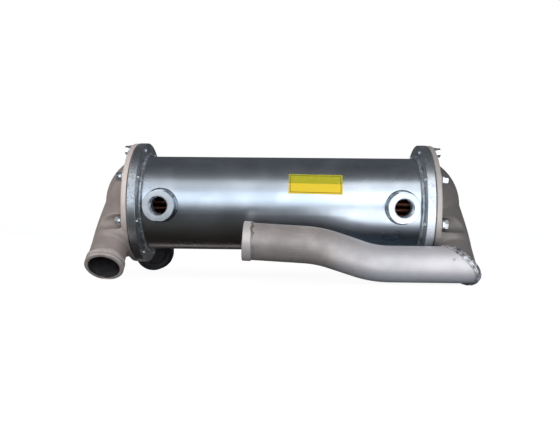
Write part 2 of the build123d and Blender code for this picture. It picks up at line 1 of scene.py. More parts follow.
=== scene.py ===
"""Looks of a shell-and-tube oil cooler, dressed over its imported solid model.

The solid model is loaded as a fixed frame, in metres. Castings, weld beads, threads and the
rubber foot are modelled here over it, and every surface gets a procedural finish.
"""

import logging
import math
from dataclasses import dataclass
from enum import Enum
from typing import Callable, Sequence

import bpy
from mathutils import Matrix, Vector


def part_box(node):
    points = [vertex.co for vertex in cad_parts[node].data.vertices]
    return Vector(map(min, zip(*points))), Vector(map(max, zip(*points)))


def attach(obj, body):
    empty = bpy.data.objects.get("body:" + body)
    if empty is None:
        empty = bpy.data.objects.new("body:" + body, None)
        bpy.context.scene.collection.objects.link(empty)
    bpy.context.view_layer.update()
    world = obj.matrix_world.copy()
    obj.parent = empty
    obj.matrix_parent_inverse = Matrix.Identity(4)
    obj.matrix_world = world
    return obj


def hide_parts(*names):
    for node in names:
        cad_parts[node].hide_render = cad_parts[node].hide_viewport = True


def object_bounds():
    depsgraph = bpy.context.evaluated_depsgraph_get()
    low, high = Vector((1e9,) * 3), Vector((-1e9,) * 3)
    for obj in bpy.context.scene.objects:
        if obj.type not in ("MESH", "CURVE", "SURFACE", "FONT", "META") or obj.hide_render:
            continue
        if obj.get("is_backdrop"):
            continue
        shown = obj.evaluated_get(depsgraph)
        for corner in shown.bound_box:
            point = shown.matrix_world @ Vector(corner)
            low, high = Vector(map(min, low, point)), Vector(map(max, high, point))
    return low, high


LOG = logging.getLogger("oil_cooler")
FULL_TURN = 2.0 * math.pi
EDGE_ANGLE = 35.0

Piece = bpy.types.Object
Face = bpy.types.MeshPolygon
Material = bpy.types.Material
Socket = bpy.types.NodeSocket
Triple = tuple[float, float, float]
Colour = tuple[float, float, float]
Profile = Sequence[tuple[float, float]]

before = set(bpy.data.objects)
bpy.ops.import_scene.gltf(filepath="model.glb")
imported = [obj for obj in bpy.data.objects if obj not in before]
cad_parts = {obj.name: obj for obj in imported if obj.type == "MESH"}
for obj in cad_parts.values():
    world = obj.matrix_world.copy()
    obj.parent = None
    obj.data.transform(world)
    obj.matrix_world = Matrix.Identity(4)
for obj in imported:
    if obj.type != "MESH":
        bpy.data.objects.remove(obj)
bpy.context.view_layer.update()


class Side(Enum):
    """The two ends of the cooler, as the sign of X."""

    LEFT = -1
    RIGHT = 1

    @property
    def word(self) -> str:
        """The side's word in the frame's node names."""
        return self.name.lower()


# ---------------------------------------------------------------- modelling helpers


def deselect() -> None:
    """Leave edit mode and select nothing."""
    if bpy.context.object and bpy.context.object.mode != "OBJECT":
        bpy.ops.object.mode_set(mode="OBJECT")
    bpy.ops.object.select_all(action="DESELECT")


def only(piece: Piece) -> None:
    """Make one object the only selected one.

    Args:
        piece: the object to select.
    """
    deselect()
    piece.select_set(True)
    bpy.context.view_layer.objects.active = piece


def named(name: str, piece: Piece | None = None) -> Piece:
    """Name an object and its mesh.

    Args:
        name: the name of both.
        piece: the object, or nothing for the one that was just added.

    Returns:
        The object.
    """
    piece = piece or bpy.context.object
    piece.name = name
    piece.data.name = name
    return piece


def discard(piece: Piece) -> None:
    """Remove an object that was only a tool.

    Args:
        piece: the object to remove.
    """
    bpy.data.objects.remove(piece, do_unlink=True)


def close_up(piece: Piece, gap: float) -> None:
    """Merge doubled vertices and turn all faces outwards.

    Args:
        piece: the object to clean.
        gap: the merge distance.
    """
    only(piece)
    bpy.ops.object.mode_set(mode="EDIT")
    bpy.ops.mesh.select_all(action="SELECT")
    bpy.ops.mesh.remove_doubles(threshold=gap)
    bpy.ops.mesh.normals_make_consistent(inside=False)
    bpy.ops.object.mode_set(mode="OBJECT")


def modify(piece: Piece, kind: str, **settings: object) -> None:
    """Add one modifier to a piece and apply it.

    Args:
        piece: the object to change.
        kind: the modifier's type.
        settings: the modifier's values by name.
    """
    modifier = piece.modifiers.new(kind.lower(), kind)
    for key, value in settings.items():
        setattr(modifier, key, value)
    only(piece)
    bpy.ops.object.modifier_apply(modifier=modifier.name)


def soften(piece: Piece, width: float, segments: int = 2, limit: float = EDGE_ANGLE) -> None:
    """Bevel the sharp edges of a piece.

    Args:
        piece: the object to bevel.
        width: the bevel's width.
        segments: faces across the bevel.
        limit: the edge angle, in degrees, from which an edge counts as sharp.
    """
    modify(piece, "BEVEL", width=width, segments=segments, limit_method="ANGLE",
           angle_limit=math.radians(limit), use_clamp_overlap=True)


def cut(piece: Piece, tool: Piece, operation: str = "DIFFERENCE") -> None:
    """Cut a piece with a tool, which is used up.

    Args:
        piece: the object to cut.
        tool: the cutting object.
        operation: what the Boolean modifier does.
    """
    modify(piece, "BOOLEAN", operation=operation, solver="EXACT", object=tool)
    discard(tool)


def square_up(piece: Piece) -> None:
    """Keep a piece's large faces flat in shading, next to their softened edges.

    Args:
        piece: the piece, already shaded smooth up to an edge angle.
    """
    modify(piece, "WEIGHTED_NORMAL", mode="FACE_AREA", weight=80, keep_sharp=True)


def shade(piece: Piece, limit: float = EDGE_ANGLE) -> None:
    """Shade a piece smooth up to an edge angle.

    Args:
        piece: the object to shade.
        limit: the angle in degrees.
    """
    only(piece)
    bpy.ops.object.shade_smooth_by_angle(angle=math.radians(limit), keep_sharp_edges=False)


def block(name: str, size: Triple, place: Matrix) -> Piece:
    """Add a box that cuts something else.

    Args:
        name: the box's name.
        size: its length along X, Y and Z.
        place: the move from the origin, applied to the mesh.

    Returns:
        The box.
    """
    deselect()
    bpy.ops.mesh.primitive_cube_add(size=1.0)
    box = named(name)
    box.data.transform(place @ Matrix.Diagonal((*size, 1.0)))
    return box


def turned(name: str, profile: Profile, steps: int) -> Piece:
    """Turn a closed profile about the X axis, as on a lathe.

    Args:
        name: the piece's name.
        profile: station along X and radius of each corner, in metres, in order.
        steps: segments round the turn.

    Returns:
        The turned piece, closed and with outward faces.
    """
    merge_gap = 0.000005
    deselect()
    bpy.ops.mesh.primitive_plane_add(size=0.001)
    piece = named(name)
    bpy.ops.object.mode_set(mode="EDIT")
    bpy.ops.mesh.merge(type="CENTER")
    bpy.ops.transform.translate(value=(profile[0][0], 0.0, profile[0][1]))
    for (x0, r0), (x1, r1) in zip(profile, [*profile[1:], profile[0]]):
        step = (x1 - x0, 0.0, r1 - r0)
        bpy.ops.mesh.extrude_region_move(TRANSFORM_OT_translate={"value": step})
    bpy.ops.mesh.select_all(action="SELECT")
    bpy.ops.mesh.remove_doubles(threshold=merge_gap)
    bpy.ops.mesh.spin(steps=steps, angle=FULL_TURN, center=(0, 0, 0), axis=(1, 0, 0))
    bpy.ops.object.mode_set(mode="OBJECT")
    close_up(piece, merge_gap)
    return piece


def wrapped(name: str, columns: int, rows: int, place: Callable[[float, float], Triple]) -> Piece:
    """Wrap a grid round a path: a closed skin whose rows and columns both join up or end.

    Args:
        name: the piece's name.
        columns: faces round the path.
        rows: faces across it.
        place: gives a vertex its place from two shares between 0 and 1.

    Returns:
        The wrapped piece, merged along its seams.
    """
    deselect()
    bpy.ops.mesh.primitive_grid_add(x_subdivisions=columns, y_subdivisions=rows, size=1.0)
    piece = named(name)
    for vertex in piece.data.vertices:
        vertex.co = place(vertex.co.x + 0.5, vertex.co.y + 0.5)
    close_up(piece, 0.000004)
    return piece


def joined(name: str, parts: Sequence[Piece]) -> Piece:
    """Join several objects into one piece.

    Args:
        name: the joined piece's name.
        parts: the objects, the first of which stays.

    Returns:
        The joined piece.
    """
    deselect()
    for part in parts:
        part.select_set(True)
    bpy.context.view_layer.objects.active = parts[0]
    bpy.ops.object.join()
    return named(name)


def copied(piece: Piece, matrix: Matrix) -> Piece:
    """Copy a piece with a mesh of its own, moved by a matrix.

    Args:
        piece: the object to copy.
        matrix: the move, applied to the new mesh.

    Returns:
        The copy.
    """
    twin = piece.copy()
    twin.data = piece.data.copy()
    bpy.context.scene.collection.objects.link(twin)
    twin.data.transform(matrix)
    if matrix.determinant() < 0:
        twin.data.flip_normals()
    return twin


def polar(x: float, radius: float, angle: float) -> Triple:
    """Give a place round the X axis.

    Args:
        x: the station along the axis.
        radius: the distance from it.
        angle: the angle from Y towards Z, in radians.

    Returns:
        The place.
    """
    return (x, radius * math.cos(angle), radius * math.sin(angle))


def wobble(angle: float, seed: float) -> float:
    """A smooth hand-made unevenness between -1 and 1.

    Args:
        angle: the place along a seam, in radians.
        seed: shifts the pattern.

    Returns:
        The unevenness there.
    """
    waves = ((3.0, seed), (7.0, 2.3 * seed), (13.0, -seed))
    return sum(math.sin(rate * angle + shift) for rate, shift in waves) / 3.0


def ripple(share: float) -> float:
    """Height of one weld ripple, steep in front and long behind.

    Args:
        share: any number; only its fraction counts.

    Returns:
        A height between 0 and 1.
    """
    return math.sin(math.pi * (share - math.floor(share)) ** 0.6)


def groove(phase: float) -> float:
    """Depth of a thread's flank, which falls and rises once a turn.

    Args:
        phase: any number of turns; only its fraction counts.

    Returns:
        A depth between 0 and 1.
    """
    return abs(2.0 * (phase - math.floor(phase)) - 1.0)


def outwardness(face: Face, middle: Vector, along: Vector) -> float:
    """Tell how far a face looks away from an axis.

    Args:
        face: the face.
        middle: a point of the axis.
        along: the axis's direction.

    Returns:
        1 for straight out, -1 for straight in.
    """
    away = face.center - middle
    away -= along * away.dot(along)
    return face.normal.dot(away) / max(away.length, 1e-9)


def dress(
    piece: Piece, finish: Material, other: Material | None = None,
    where: Callable[[Face], bool] | None = None
) -> None:
    """Give a piece one finish, and some of its faces another.

    Args:
        piece: the object to dress.
        finish: its material.
        other: the other material.
        where: tells which faces get the other one.
    """
    piece.data.materials.clear()
    piece.data.materials.append(finish)
    if other and where:
        piece.data.materials.append(other)
        for face in piece.data.polygons:
            if where(face):
                face.material_index = 1


def fit_in(piece: Piece, slot: str, *nodes: str) -> None:
    """Let a piece ride on the frame in place of some of its nodes.

    Args:
        piece: the finished piece.
        slot: the record's material slot; not used.
        nodes: the nodes that the piece stands for.
    """
    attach(piece, "root")
    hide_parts(*nodes)


def fit_pair(piece: Piece, slot: str, node: str, flat_faced: bool = False) -> None:
    """Fit in a right piece and its mirror image at the left end.

    Args:
        piece: the right piece.
        slot: the record's material slot.
        node: the nodes' name without its side.
        flat_faced: whether flat faces are squared up in shading.
    """
    twin = copied(piece, Matrix.Scale(-1.0, 4, (1, 0, 0)))
    named(piece.name.replace(Side.RIGHT.word, Side.LEFT.word), twin)
    for side, each in ((Side.RIGHT, piece), (Side.LEFT, twin)):
        if flat_faced:
            square_up(each)
        fit_in(each, slot, f"{side.word}_{node}")


# ---------------------------------------------------------------- finishes


class Graph:
    """A material's node tree, built up a node at a time."""

    def __init__(self, name: str) -> None:
        """Start a material with one shader.

        Args:
            name: the material's name.
        """
        self.material = bpy.data.materials.new(name)
        self.material.use_nodes = True
        self.tree = self.material.node_tree
        self.tree.nodes.clear()
        self.shader = self.node("BsdfPrincipled", {})
        self.node("OutputMaterial", {"Surface": self.shader.outputs["BSDF"]})
        self.place = self.node("TexCoord", {}).outputs["Object"]

    def fill(self, node: bpy.types.Node, inputs: dict[str | int, object]) -> None:
        """Link or set a node's inputs.

        Args:
            node: the node.
            inputs: an output, a number or a colour for each input, by its name or index.
        """
        for key, value in inputs.items():
            socket = node.inputs[key]
            if isinstance(value, Socket):
                self.tree.links.new(value, socket)
            else:
                socket.default_value = (*value, 1.0) if socket.type == "RGBA" else value

    def node(self, kind: str, inputs: dict[str | int, object], **settings: str) -> bpy.types.Node:
        """Add a node.

        Args:
            kind: the node's type, without its prefix.
            inputs: an output, a number or a colour for each input, by its name or index.
            settings: the node's own values by name.

        Returns:
            The node.
        """
        node = self.tree.nodes.new(f"ShaderNode{kind}")
        for key, value in settings.items():
            setattr(node, key, value)
        self.fill(node, inputs)
        return node

    def finish(self, **inputs: object) -> Material:
        """Link or set the shader's inputs.

        Args:
            inputs: values by input name, with underscores for spaces.

        Returns:
            The finished material.
        """
        self.fill(self.shader, {key.replace("_", " "): value for key, value in inputs.items()})
        return self.material

    def stretched(self, scale: Triple, turn: Triple = (0.0, 0.0, 0.0)) -> Socket:
        """Object coordinates, scaled and turned.

        Args:
            scale: factors along X, Y and Z.
            turn: angles about X, Y and Z in radians.

        Returns:
            The coordinates.
        """
        inputs = {"Scale": scale, "Rotation": turn, "Vector": self.place}
        return self.node("Mapping", inputs).outputs[0]

    def noise(
        self, scale: float, detail: float = 3.0, rough: float = 0.5, at: Socket | None = None
    ) -> Socket:
        """Cloudy noise.

        Args:
            scale: clouds a metre.
            detail: octaves.
            rough: weight of the fine octaves.
            at: the coordinates, or nothing for the object's own.

        Returns:
            The noise, about 0 to 1.
        """
        inputs = {"Scale": scale, "Detail": detail, "Roughness": rough, "Vector": at or self.place}
        return self.node("TexNoise", inputs).outputs[0]

    def axis(self, letter: str, of: Socket | None = None) -> Socket:
        """One coordinate of a place.

        Args:
            letter: X, Y or Z.
            of: the place, or nothing for the object's own.

        Returns:
            The coordinate in metres.
        """
        return self.node("SeparateXYZ", {0: of or self.place}).outputs[letter]

    def calc(self, operation: str, first: object, second: object = 0.0) -> Socket:
        """A sum on one or two values.

        Args:
            operation: the Math node's operation.
            first: a number or an output.
            second: a number or an output.

        Returns:
            The result.
        """
        return self.node("Math", {0: first, 1: second}, operation=operation).outputs[0]

    def product(self, first: Socket, *others: object) -> Socket:
        """Multiply several values.

        Args:
            first: an output.
            others: numbers or outputs.

        Returns:
            The product.
        """
        for value in others:
            first = self.calc("MULTIPLY", first, value)
        return first

    def span(
        self, value: Socket, low: float, high: float, to_low: float = 0.0, to_high: float = 1.0
    ) -> Socket:
        """Map a value's range smoothly to another, held at both ends.

        Args:
            value: the value to map.
            low: the start of its range.
            high: the end of its range.
            to_low: the result at the start.
            to_high: the result at the end.

        Returns:
            The mapped value.
        """
        inputs = dict(enumerate((value, low, high, to_low, to_high)))
        return self.node("MapRange", inputs, interpolation_type="SMOOTHSTEP").outputs[0]

    def blend(self, share: object, first: object, second: object) -> Socket:
        """Mix two colours.

        Args:
            share: how much of the second colour, a number or an output.
            first: a colour or an output.
            second: a colour or an output.

        Returns:
            The mixed colour.
        """
        return self.node("Mix", {0: share, 6: first, 7: second}, data_type="RGBA").outputs[2]

    def raise_by(self, height: Socket, depth: float, over: Socket | None = None) -> Socket:
        """Turn a height into a bumped normal.

        Args:
            height: the height, about 0 to 1.
            depth: the real depth in metres.
            over: another bump's normal that this one lies on.

        Returns:
            The normal.
        """
        inputs = {"Distance": depth, "Height": height}
        if over is not None:
            inputs["Normal"] = over
        return self.node("Bump", inputs).outputs[0]


@dataclass(frozen=True)
class ZincPlate:
    """Zinc plate on steel: semi-gloss, cloudy, with handling marks and fine scratches, and painted
    shade that darkens it towards the underside.
    """

    name: str = "zinc_plate"
    light: Colour = (0.63, 0.69, 0.76)
    dark: Colour = (0.51, 0.56, 0.625)
    # Colour of the painted shade on the lower side, faded in between the two heights below.
    under: Colour = (0.36, 0.33, 0.31)
    mark: Colour = (0.13, 0.13, 0.14)
    scratched: Colour = (0.85, 0.88, 0.92)
    gloss: float = 0.30
    marks: float = 0.25
    marks_right: float = 0.0
    under_from: float = -0.018
    under_to: float = -0.060

    def make(self) -> Material:
        """Build the finish.

        Returns:
            The material.
        """
        g = Graph(self.name)
        tone = g.blend(g.span(g.noise(22.0, 2.0, 0.4), 0.35, 0.7), self.dark, self.light)
        marks = g.product(
            g.span(g.noise(260.0, 3.0, 0.6), 0.50, 0.64),
            g.span(g.noise(9.0, 2.0, 0.5), 0.42, 0.6),
            g.span(g.calc("ABSOLUTE", g.axis("X")), 0.15, 0.225),
            g.span(g.axis("X"), -0.01, 0.01, 1.0, self.marks_right),
        )
        tone = g.blend(g.product(marks, self.marks), tone, self.mark)
        lines = g.noise(1.0, 2.0, 0.4, g.stretched((22.0, 900.0, 900.0), (0.0, 0.3, 0.0)))
        scratch = g.span(lines, 0.68, 0.76)
        tone = g.blend(g.product(scratch, 0.22), tone, self.scratched)
        # Painted shade: darker towards the bottom, more on the left end than the right.
        low = g.product(
            g.span(g.axis("Z"), self.under_to, self.under_from, 1.0, 0.0),
            g.span(g.axis("X"), -0.05, 0.12, 1.0, 0.2),
        )
        rough = g.span(g.noise(14.0, 1.0, 0.3), 0.3, 0.7, self.gloss + 0.04, self.gloss - 0.03)
        fine = g.raise_by(g.noise(520.0, 2.0), 0.00003)
        return g.finish(
            Metallic=1.0,
            Base_Color=g.blend(low, tone, self.under),
            Roughness=g.calc("ADD", rough, g.product(marks, 0.10)),
            Normal=g.raise_by(scratch, 0.00001, fine),
        )


@dataclass(frozen=True)
class CastMetal:
    """Sand-cast, shot-blasted aluminium: matt, grainy, faintly warm, with a painted highlight along
    the flange rim.
    """

    name: str = "cast_aluminium"
    light: Colour = (0.52, 0.44, 0.41)
    dark: Colour = (0.37, 0.31, 0.285)
    # Colour of the painted highlight along the flange rim.
    edge: Colour = (0.82, 0.71, 0.66)
    stain: Colour = (0.17, 0.14, 0.13)
    rough: float = 0.62
    metallic: float = 0.5
    grain: float = 0.00009
    edge_from: float = 0.2425
    edge_to: float = 0.2410

    def make(self) -> Material:
        """Build the finish.

        Returns:
            The material.
        """
        g = Graph(self.name)
        clouds = g.noise(24.0, 4.0, 0.6)
        grain = g.noise(900.0, 3.0, 0.6)
        cells = g.node("TexVoronoi", {"Scale": 420.0, "Vector": g.place}).outputs["Distance"]
        tone = g.blend(g.span(clouds, 0.3, 0.7), self.dark, self.light)
        tone = g.blend(g.span(grain, 0.3, 0.7, 0.0, 0.25), tone, self.dark)
        stains = g.span(g.noise(60.0, 5.0, 0.7), 0.62, 0.75, 0.0, 0.35)
        tone = g.blend(stains, tone, self.stain)
        # Painted highlight: the flange rim is lighter, fading out towards the bottom.
        off_edge = g.calc("ABSOLUTE", g.axis("X"))
        on_lit_rim = g.span(off_edge, self.edge_to, self.edge_from, 1.0, 0.0)
        tone = g.blend(g.product(on_lit_rim, g.span(g.axis("Z"), -0.06, -0.02)), tone, self.edge)
        surface = g.raise_by(g.noise(110.0, 2.0), 0.00025)
        surface = g.raise_by(grain, self.grain, surface)
        return g.finish(
            Metallic=self.metallic,
            Base_Color=tone,
            Roughness=g.span(clouds, 0.3, 0.7, self.rough + 0.06, self.rough - 0.06),
            Normal=g.raise_by(g.span(cells, 0.0, 0.22), 0.00008, surface),
        )


@dataclass(frozen=True)
class DrawnMetal:
    """Drawn aluminium tube, matt and pale, with die lines and soft stains, and painted light: a
    lighter left end with its bead, and a paler, bluer right end.
    """

    name: str = "pipe_aluminium"
    light: Colour = (0.44, 0.39, 0.37)
    dark: Colour = (0.34, 0.30, 0.285)
    # Colour of the painted highlight on the left end of the pipe and its bead.
    bead: Colour = (0.72, 0.66, 0.645)
    # Paler, bluer colour of the right end of the pipe, which is painted light.
    blasted: Colour = (0.66, 0.655, 0.70)
    stain: Colour = (0.38, 0.34, 0.33)
    die_line: Colour = (0.92, 0.90, 0.90)
    soot: Colour = (0.16, 0.13, 0.115)
    # Colour of a darker spot round a point near the weld's corner.
    dent: Colour = (0.26, 0.22, 0.21)
    rough: float = 0.52
    metallic: float = 0.42
    scar: Triple = (0.2535, -0.1158, -0.0805)
    scar_r: float = 0.0026
    seam_x: float = -0.0400
    seam_half: float = 0.0011

    def make(self) -> Material:
        """Build the finish.

        Returns:
            The material.
        """
        g = Graph(self.name)
        clouds = g.noise(30.0, 4.0, 0.6)
        lines = g.noise(1.0, 2.0, 0.4, g.stretched((16.0, 700.0, 700.0)))
        tone = g.blend(g.span(clouds, 0.3, 0.7), self.dark, self.light)
        stains = g.span(g.noise(85.0, 4.0, 0.7), 0.60, 0.74, 0.0, 0.25)
        tone = g.blend(stains, tone, self.stain)
        tone = g.blend(g.span(lines, 0.6, 0.75, 0.0, 0.18), tone, self.die_line)
        # Painted light: towards the right end the pipe turns paler and bluer.
        tone = g.blend(g.span(g.axis("X"), 0.04, 0.16, 0.0, 0.48), tone, self.blasted)
        # Painted highlight: the left end of the pipe, bead and all, is lightened.
        on_lit_bead = g.span(g.axis("X"), self.seam_x - 0.003, self.seam_x - 0.001, 1.0, 0.0)
        tone = g.blend(g.product(on_lit_bead, 0.8), tone, self.bead)
        sway = g.span(g.noise(95.0, 3.0, 0.6), 0.3, 0.7, -0.0016, 0.0016)
        off_seam = g.calc("SUBTRACT", g.calc("ADD", g.axis("X"), sway), self.seam_x)
        seam = g.product(
            g.span(g.calc("ABSOLUTE", off_seam), self.seam_half, 2.0 * self.seam_half, 1.0, 0.0),
            g.span(g.noise(40.0, 2.0), 0.38, 0.55),
            0.75,
        )
        tone = g.blend(seam, tone, self.soot)
        reach = g.node("VectorMath", {0: g.place, 1: self.scar}, operation="DISTANCE")
        sway = g.span(g.noise(420.0, 2.0), 0.3, 0.7, -0.001, 0.001)
        uneven = g.calc("ADD", reach.outputs["Value"], sway)
        # A darker spot round a point near the weld's corner.
        dent = g.span(uneven, 0.4 * self.scar_r, self.scar_r, 1.0, 0.0)
        surface = g.raise_by(lines, 0.00002)
        return g.finish(
            Metallic=self.metallic,
            Base_Color=g.blend(g.product(dent, 0.7), tone, self.dent),
            Roughness=g.span(clouds, 0.3, 0.7, self.rough + 0.06, self.rough - 0.05),
            Normal=g.raise_by(g.noise(420.0, 3.0, 0.6), 0.00004, surface),
        )


@dataclass(frozen=True)
class Mottled:
    """Two mottled tones over a fine grain, such as copper tube, brass plate or dark paint."""

    name: str
    light: Colour
    dark: Colour
    rough: float = 0.4
    metallic: float = 1.0
    clouds: Triple = (60.0, 4.0, 0.6)
    light_from: float = 0.65
    rough_less: float = 0.08
    rough_more: float = 0.08
    grain: Triple = (500.0, 2.0, 0.5)
    grain_depth: float = 0.00004

    def make(self) -> Material:
        """Build the finish.

        Returns:
            The material.
        """
        g = Graph(self.name)
        clouds = g.noise(*self.clouds)
        least, most = self.rough - self.rough_less, self.rough + self.rough_more
        return g.finish(
            Metallic=self.metallic,
            Base_Color=g.blend(g.span(clouds, 0.35, self.light_from), self.dark, self.light),
            Roughness=g.span(clouds, 0.3, 0.7, least, most),
            Normal=g.raise_by(g.noise(*self.grain), self.grain_depth),
        )


@dataclass(frozen=True)
class BrightZinc(Mottled):
    """Bright plated steel of bosses, screws and washers."""

    name: str = "zinc_bright"
    light: Colour = (0.76, 0.80, 0.84)
    dark: Colour = (0.68, 0.72, 0.77)
    rough: float = 0.30
    clouds: Triple = (90.0, 3.0, 0.5)
    rough_less: float = 0.01
    rough_more: float = 0.02
    grain: Triple = (600.0, 2.0, 0.5)
    grain_depth: float = 0.000001


@dataclass(frozen=True)
class WeldMetal(Mottled):
    """Metal laid down by welding: uneven and a little bright."""

    rough: float = 0.38
    metallic: float = 0.8
    clouds: Triple = (140.0, 4.0, 0.6)
    rough_less: float = 0.06
    rough_more: float = 0.14
    grain: Triple = (700.0, 3.0, 0.6)
    grain_depth: float = 0.00008


@dataclass(frozen=True)
class Rubber(Mottled):
    """Moulded black rubber with a dull bloom."""

    name: str = "black_rubber"
    light: Colour = (0.018, 0.020, 0.025)
    dark: Colour = (0.006, 0.006, 0.008)
    rough: float = 0.55
    metallic: float = 0.0
    clouds: Triple = (70.0, 4.0, 0.6)
    light_from: float = 0.7
    rough_less: float = 0.0
    rough_more: float = 0.15
    grain: Triple = (800.0, 2.0, 0.5)


@dataclass(frozen=True)
class LabelFace:
    """A matt label in two plain fields of yellow inside a thin dark border."""

    name: str = "label_face"
    upper: Colour = (0.45, 0.41, 0.010)
    lower: Colour = (0.86, 0.60, 0.025)
    border: Colour = (0.12, 0.09, 0.01)
    worn: Colour = (0.80, 0.70, 0.20)
    centre_x: float = 0.0528
    half_width: float = 0.0415
    half_height: float = 0.0167
    rise: float = 23.2
    turn: float = 0.9
    inset: float = 0.0020
    line: float = 0.0009
    blur: float = 0.0002

    def make(self) -> Material:
        """Build the finish.

        Returns:
            The material.
        """
        g = Graph(self.name)
        level = g.node("VectorRotate", {"Angle": math.radians(self.rise), "Vector": g.place},
                       rotation_type="X_AXIS").outputs[0]
        across = g.calc("SUBTRACT", g.axis("X", level), self.centre_x)
        lean = g.product(across, math.tan(math.radians(self.turn)))
        up = g.calc("ADD", g.axis("Z", level), lean)
        tone = g.blend(g.span(up, -self.blur, self.blur), self.lower, self.upper)
        tone = g.blend(g.span(g.noise(220.0, 4.0, 0.6), 0.45, 0.75, 0.0, 0.16), tone, self.worn)
        from_side = g.calc("SUBTRACT", self.half_width, g.calc("ABSOLUTE", across))
        from_end = g.calc("SUBTRACT", self.half_height, g.calc("ABSOLUTE", up))
        nearest = g.calc("MINIMUM", from_side, from_end)
        outer, inner = self.inset, self.inset + self.line
        border = g.product(
            g.span(nearest, outer, outer + self.blur),
            g.span(nearest, inner, inner + self.blur, 1.0, 0.0),
        )
        return g.finish(
            Metallic=0.0,
            Roughness=0.5,
            Specular_IOR_Level=0.25,
            Base_Color=g.blend(border, tone, self.border),
            Normal=g.raise_by(g.noise(300.0, 2.0), 0.00003),
        )


@dataclass(frozen=True)
class PaleSurface:
    """A plain matt surface of the studio."""

    name: str
    colour: Colour

    def make(self) -> Material:
        """Build the finish.

        Returns:
            The material.
        """
        return Graph(self.name).finish(
            Metallic=0.0, Roughness=0.95, Specular_IOR_Level=0.1, Base_Color=self.colour
        )


@dataclass(frozen=True)
class Backdrop:
    """The pale floor and backdrop, white to the camera apart from the cooler's shadow."""

    name: str = "backdrop_white"
    colour: Colour = (0.32, 0.32, 0.32)
    seen: Colour = (0.16, 0.16, 0.16)
    glow: float = 0.93

    def make(self) -> Material:
        """Build the finish.

        Returns:
            The material.
        """
        g = Graph(self.name)
        path = g.node("LightPath", {}).outputs
        shown = g.calc("MAXIMUM", path["Is Camera Ray"], path["Is Glossy Ray"])
        shown = g.calc("MAXIMUM", shown, path["Is Transmission Ray"])
        return g.finish(
            Metallic=0.0,
            Roughness=0.95,
            Specular_IOR_Level=0.0,
            Base_Color=g.blend(shown, self.colour, self.seen),
            Emission_Color=(1.0, 1.0, 1.0),
            Emission_Strength=g.product(shown, self.glow),
        )


class Finishes:
    """All finishes of the cooler, made once."""

    def __init__(self) -> None:
        """Make every material."""
        self.plate = ZincPlate().make()
        # The ring flanges' plate, with its painted shade starting lower down.
        self.ring = ZincPlate(
            "zinc_ring", (0.74, 0.78, 0.82), (0.50, 0.53, 0.57), gloss=0.36, marks=0.5,
            marks_right=1.0, under_from=-0.05, under_to=-0.12
        ).make()
        self.bright = BrightZinc().make()
        # A darker, bluish copy of the bright plate for the bosses' round sides: painted shade and
        # painted reflection of the shell.
        self.port_side = BrightZinc(
            "zinc_blue", (0.40, 0.46, 0.53), (0.22, 0.26, 0.31), 0.24
        ).make()
        self.machined = Mottled(
            "machined_aluminium", (0.84, 0.75, 0.70), (0.66, 0.58, 0.54), 0.42, 0.6
        ).make()
        self.cast = CastMetal().make()
        # A darker copy of the casting for the right cover: painted shade.
        self.cast_shaded = CastMetal(
            "cast_aluminium_dull", (0.20, 0.182, 0.172), (0.15, 0.132, 0.125), (0.48, 0.435, 0.41)
        ).make()
        # Near-black painted shade for the inside of the stubs' bores.
        self.water_side = Mottled(
            "water_side", (0.060, 0.055, 0.060), (0.025, 0.022, 0.024), 0.7, 0.2
        ).make()
        self.pipe = DrawnMetal().make()
        self.steel_weld = WeldMetal("steel_weld", (0.60, 0.63, 0.66), (0.30, 0.31, 0.33)).make()
        self.port_weld = WeldMetal(
            "plated_weld", (0.34, 0.39, 0.44), (0.12, 0.13, 0.15), 0.28, 1.0
        ).make()
        self.alloy_weld = WeldMetal(
            "weld_aluminium", (0.64, 0.63, 0.65), (0.17, 0.165, 0.17)
        ).make()
        self.copper = Mottled("copper", (0.16, 0.060, 0.036), (0.05, 0.018, 0.012), 0.45).make()
        self.brass = Mottled("brass_sheet", (0.62, 0.46, 0.22), (0.36, 0.24, 0.10)).make()
        self.gasket = Mottled(
            "gasket_sheet", (0.10, 0.10, 0.10), (0.04, 0.04, 0.04), 0.8, 0.0
        ).make()
        self.paint = Mottled(
            "black_paint", (0.035, 0.035, 0.04), (0.015, 0.015, 0.018), 0.4, 0.0
        ).make()
        self.rubber = Rubber().make()
        self.label = LabelFace().make()


# ---------------------------------------------------------------- sub-assemblies


def stub_way(side: Side, splay: float) -> Vector:
    """Give the way a cover's stub points, down and to the front.

    Args:
        side: the cover's end.
        splay: the stub's outward lean in degrees.

    Returns:
        The direction, of length 1.
    """
    level = -math.cos(math.radians(splay)) * math.sqrt(0.5)
    return Vector((side.value * math.sin(math.radians(splay)), level, level))


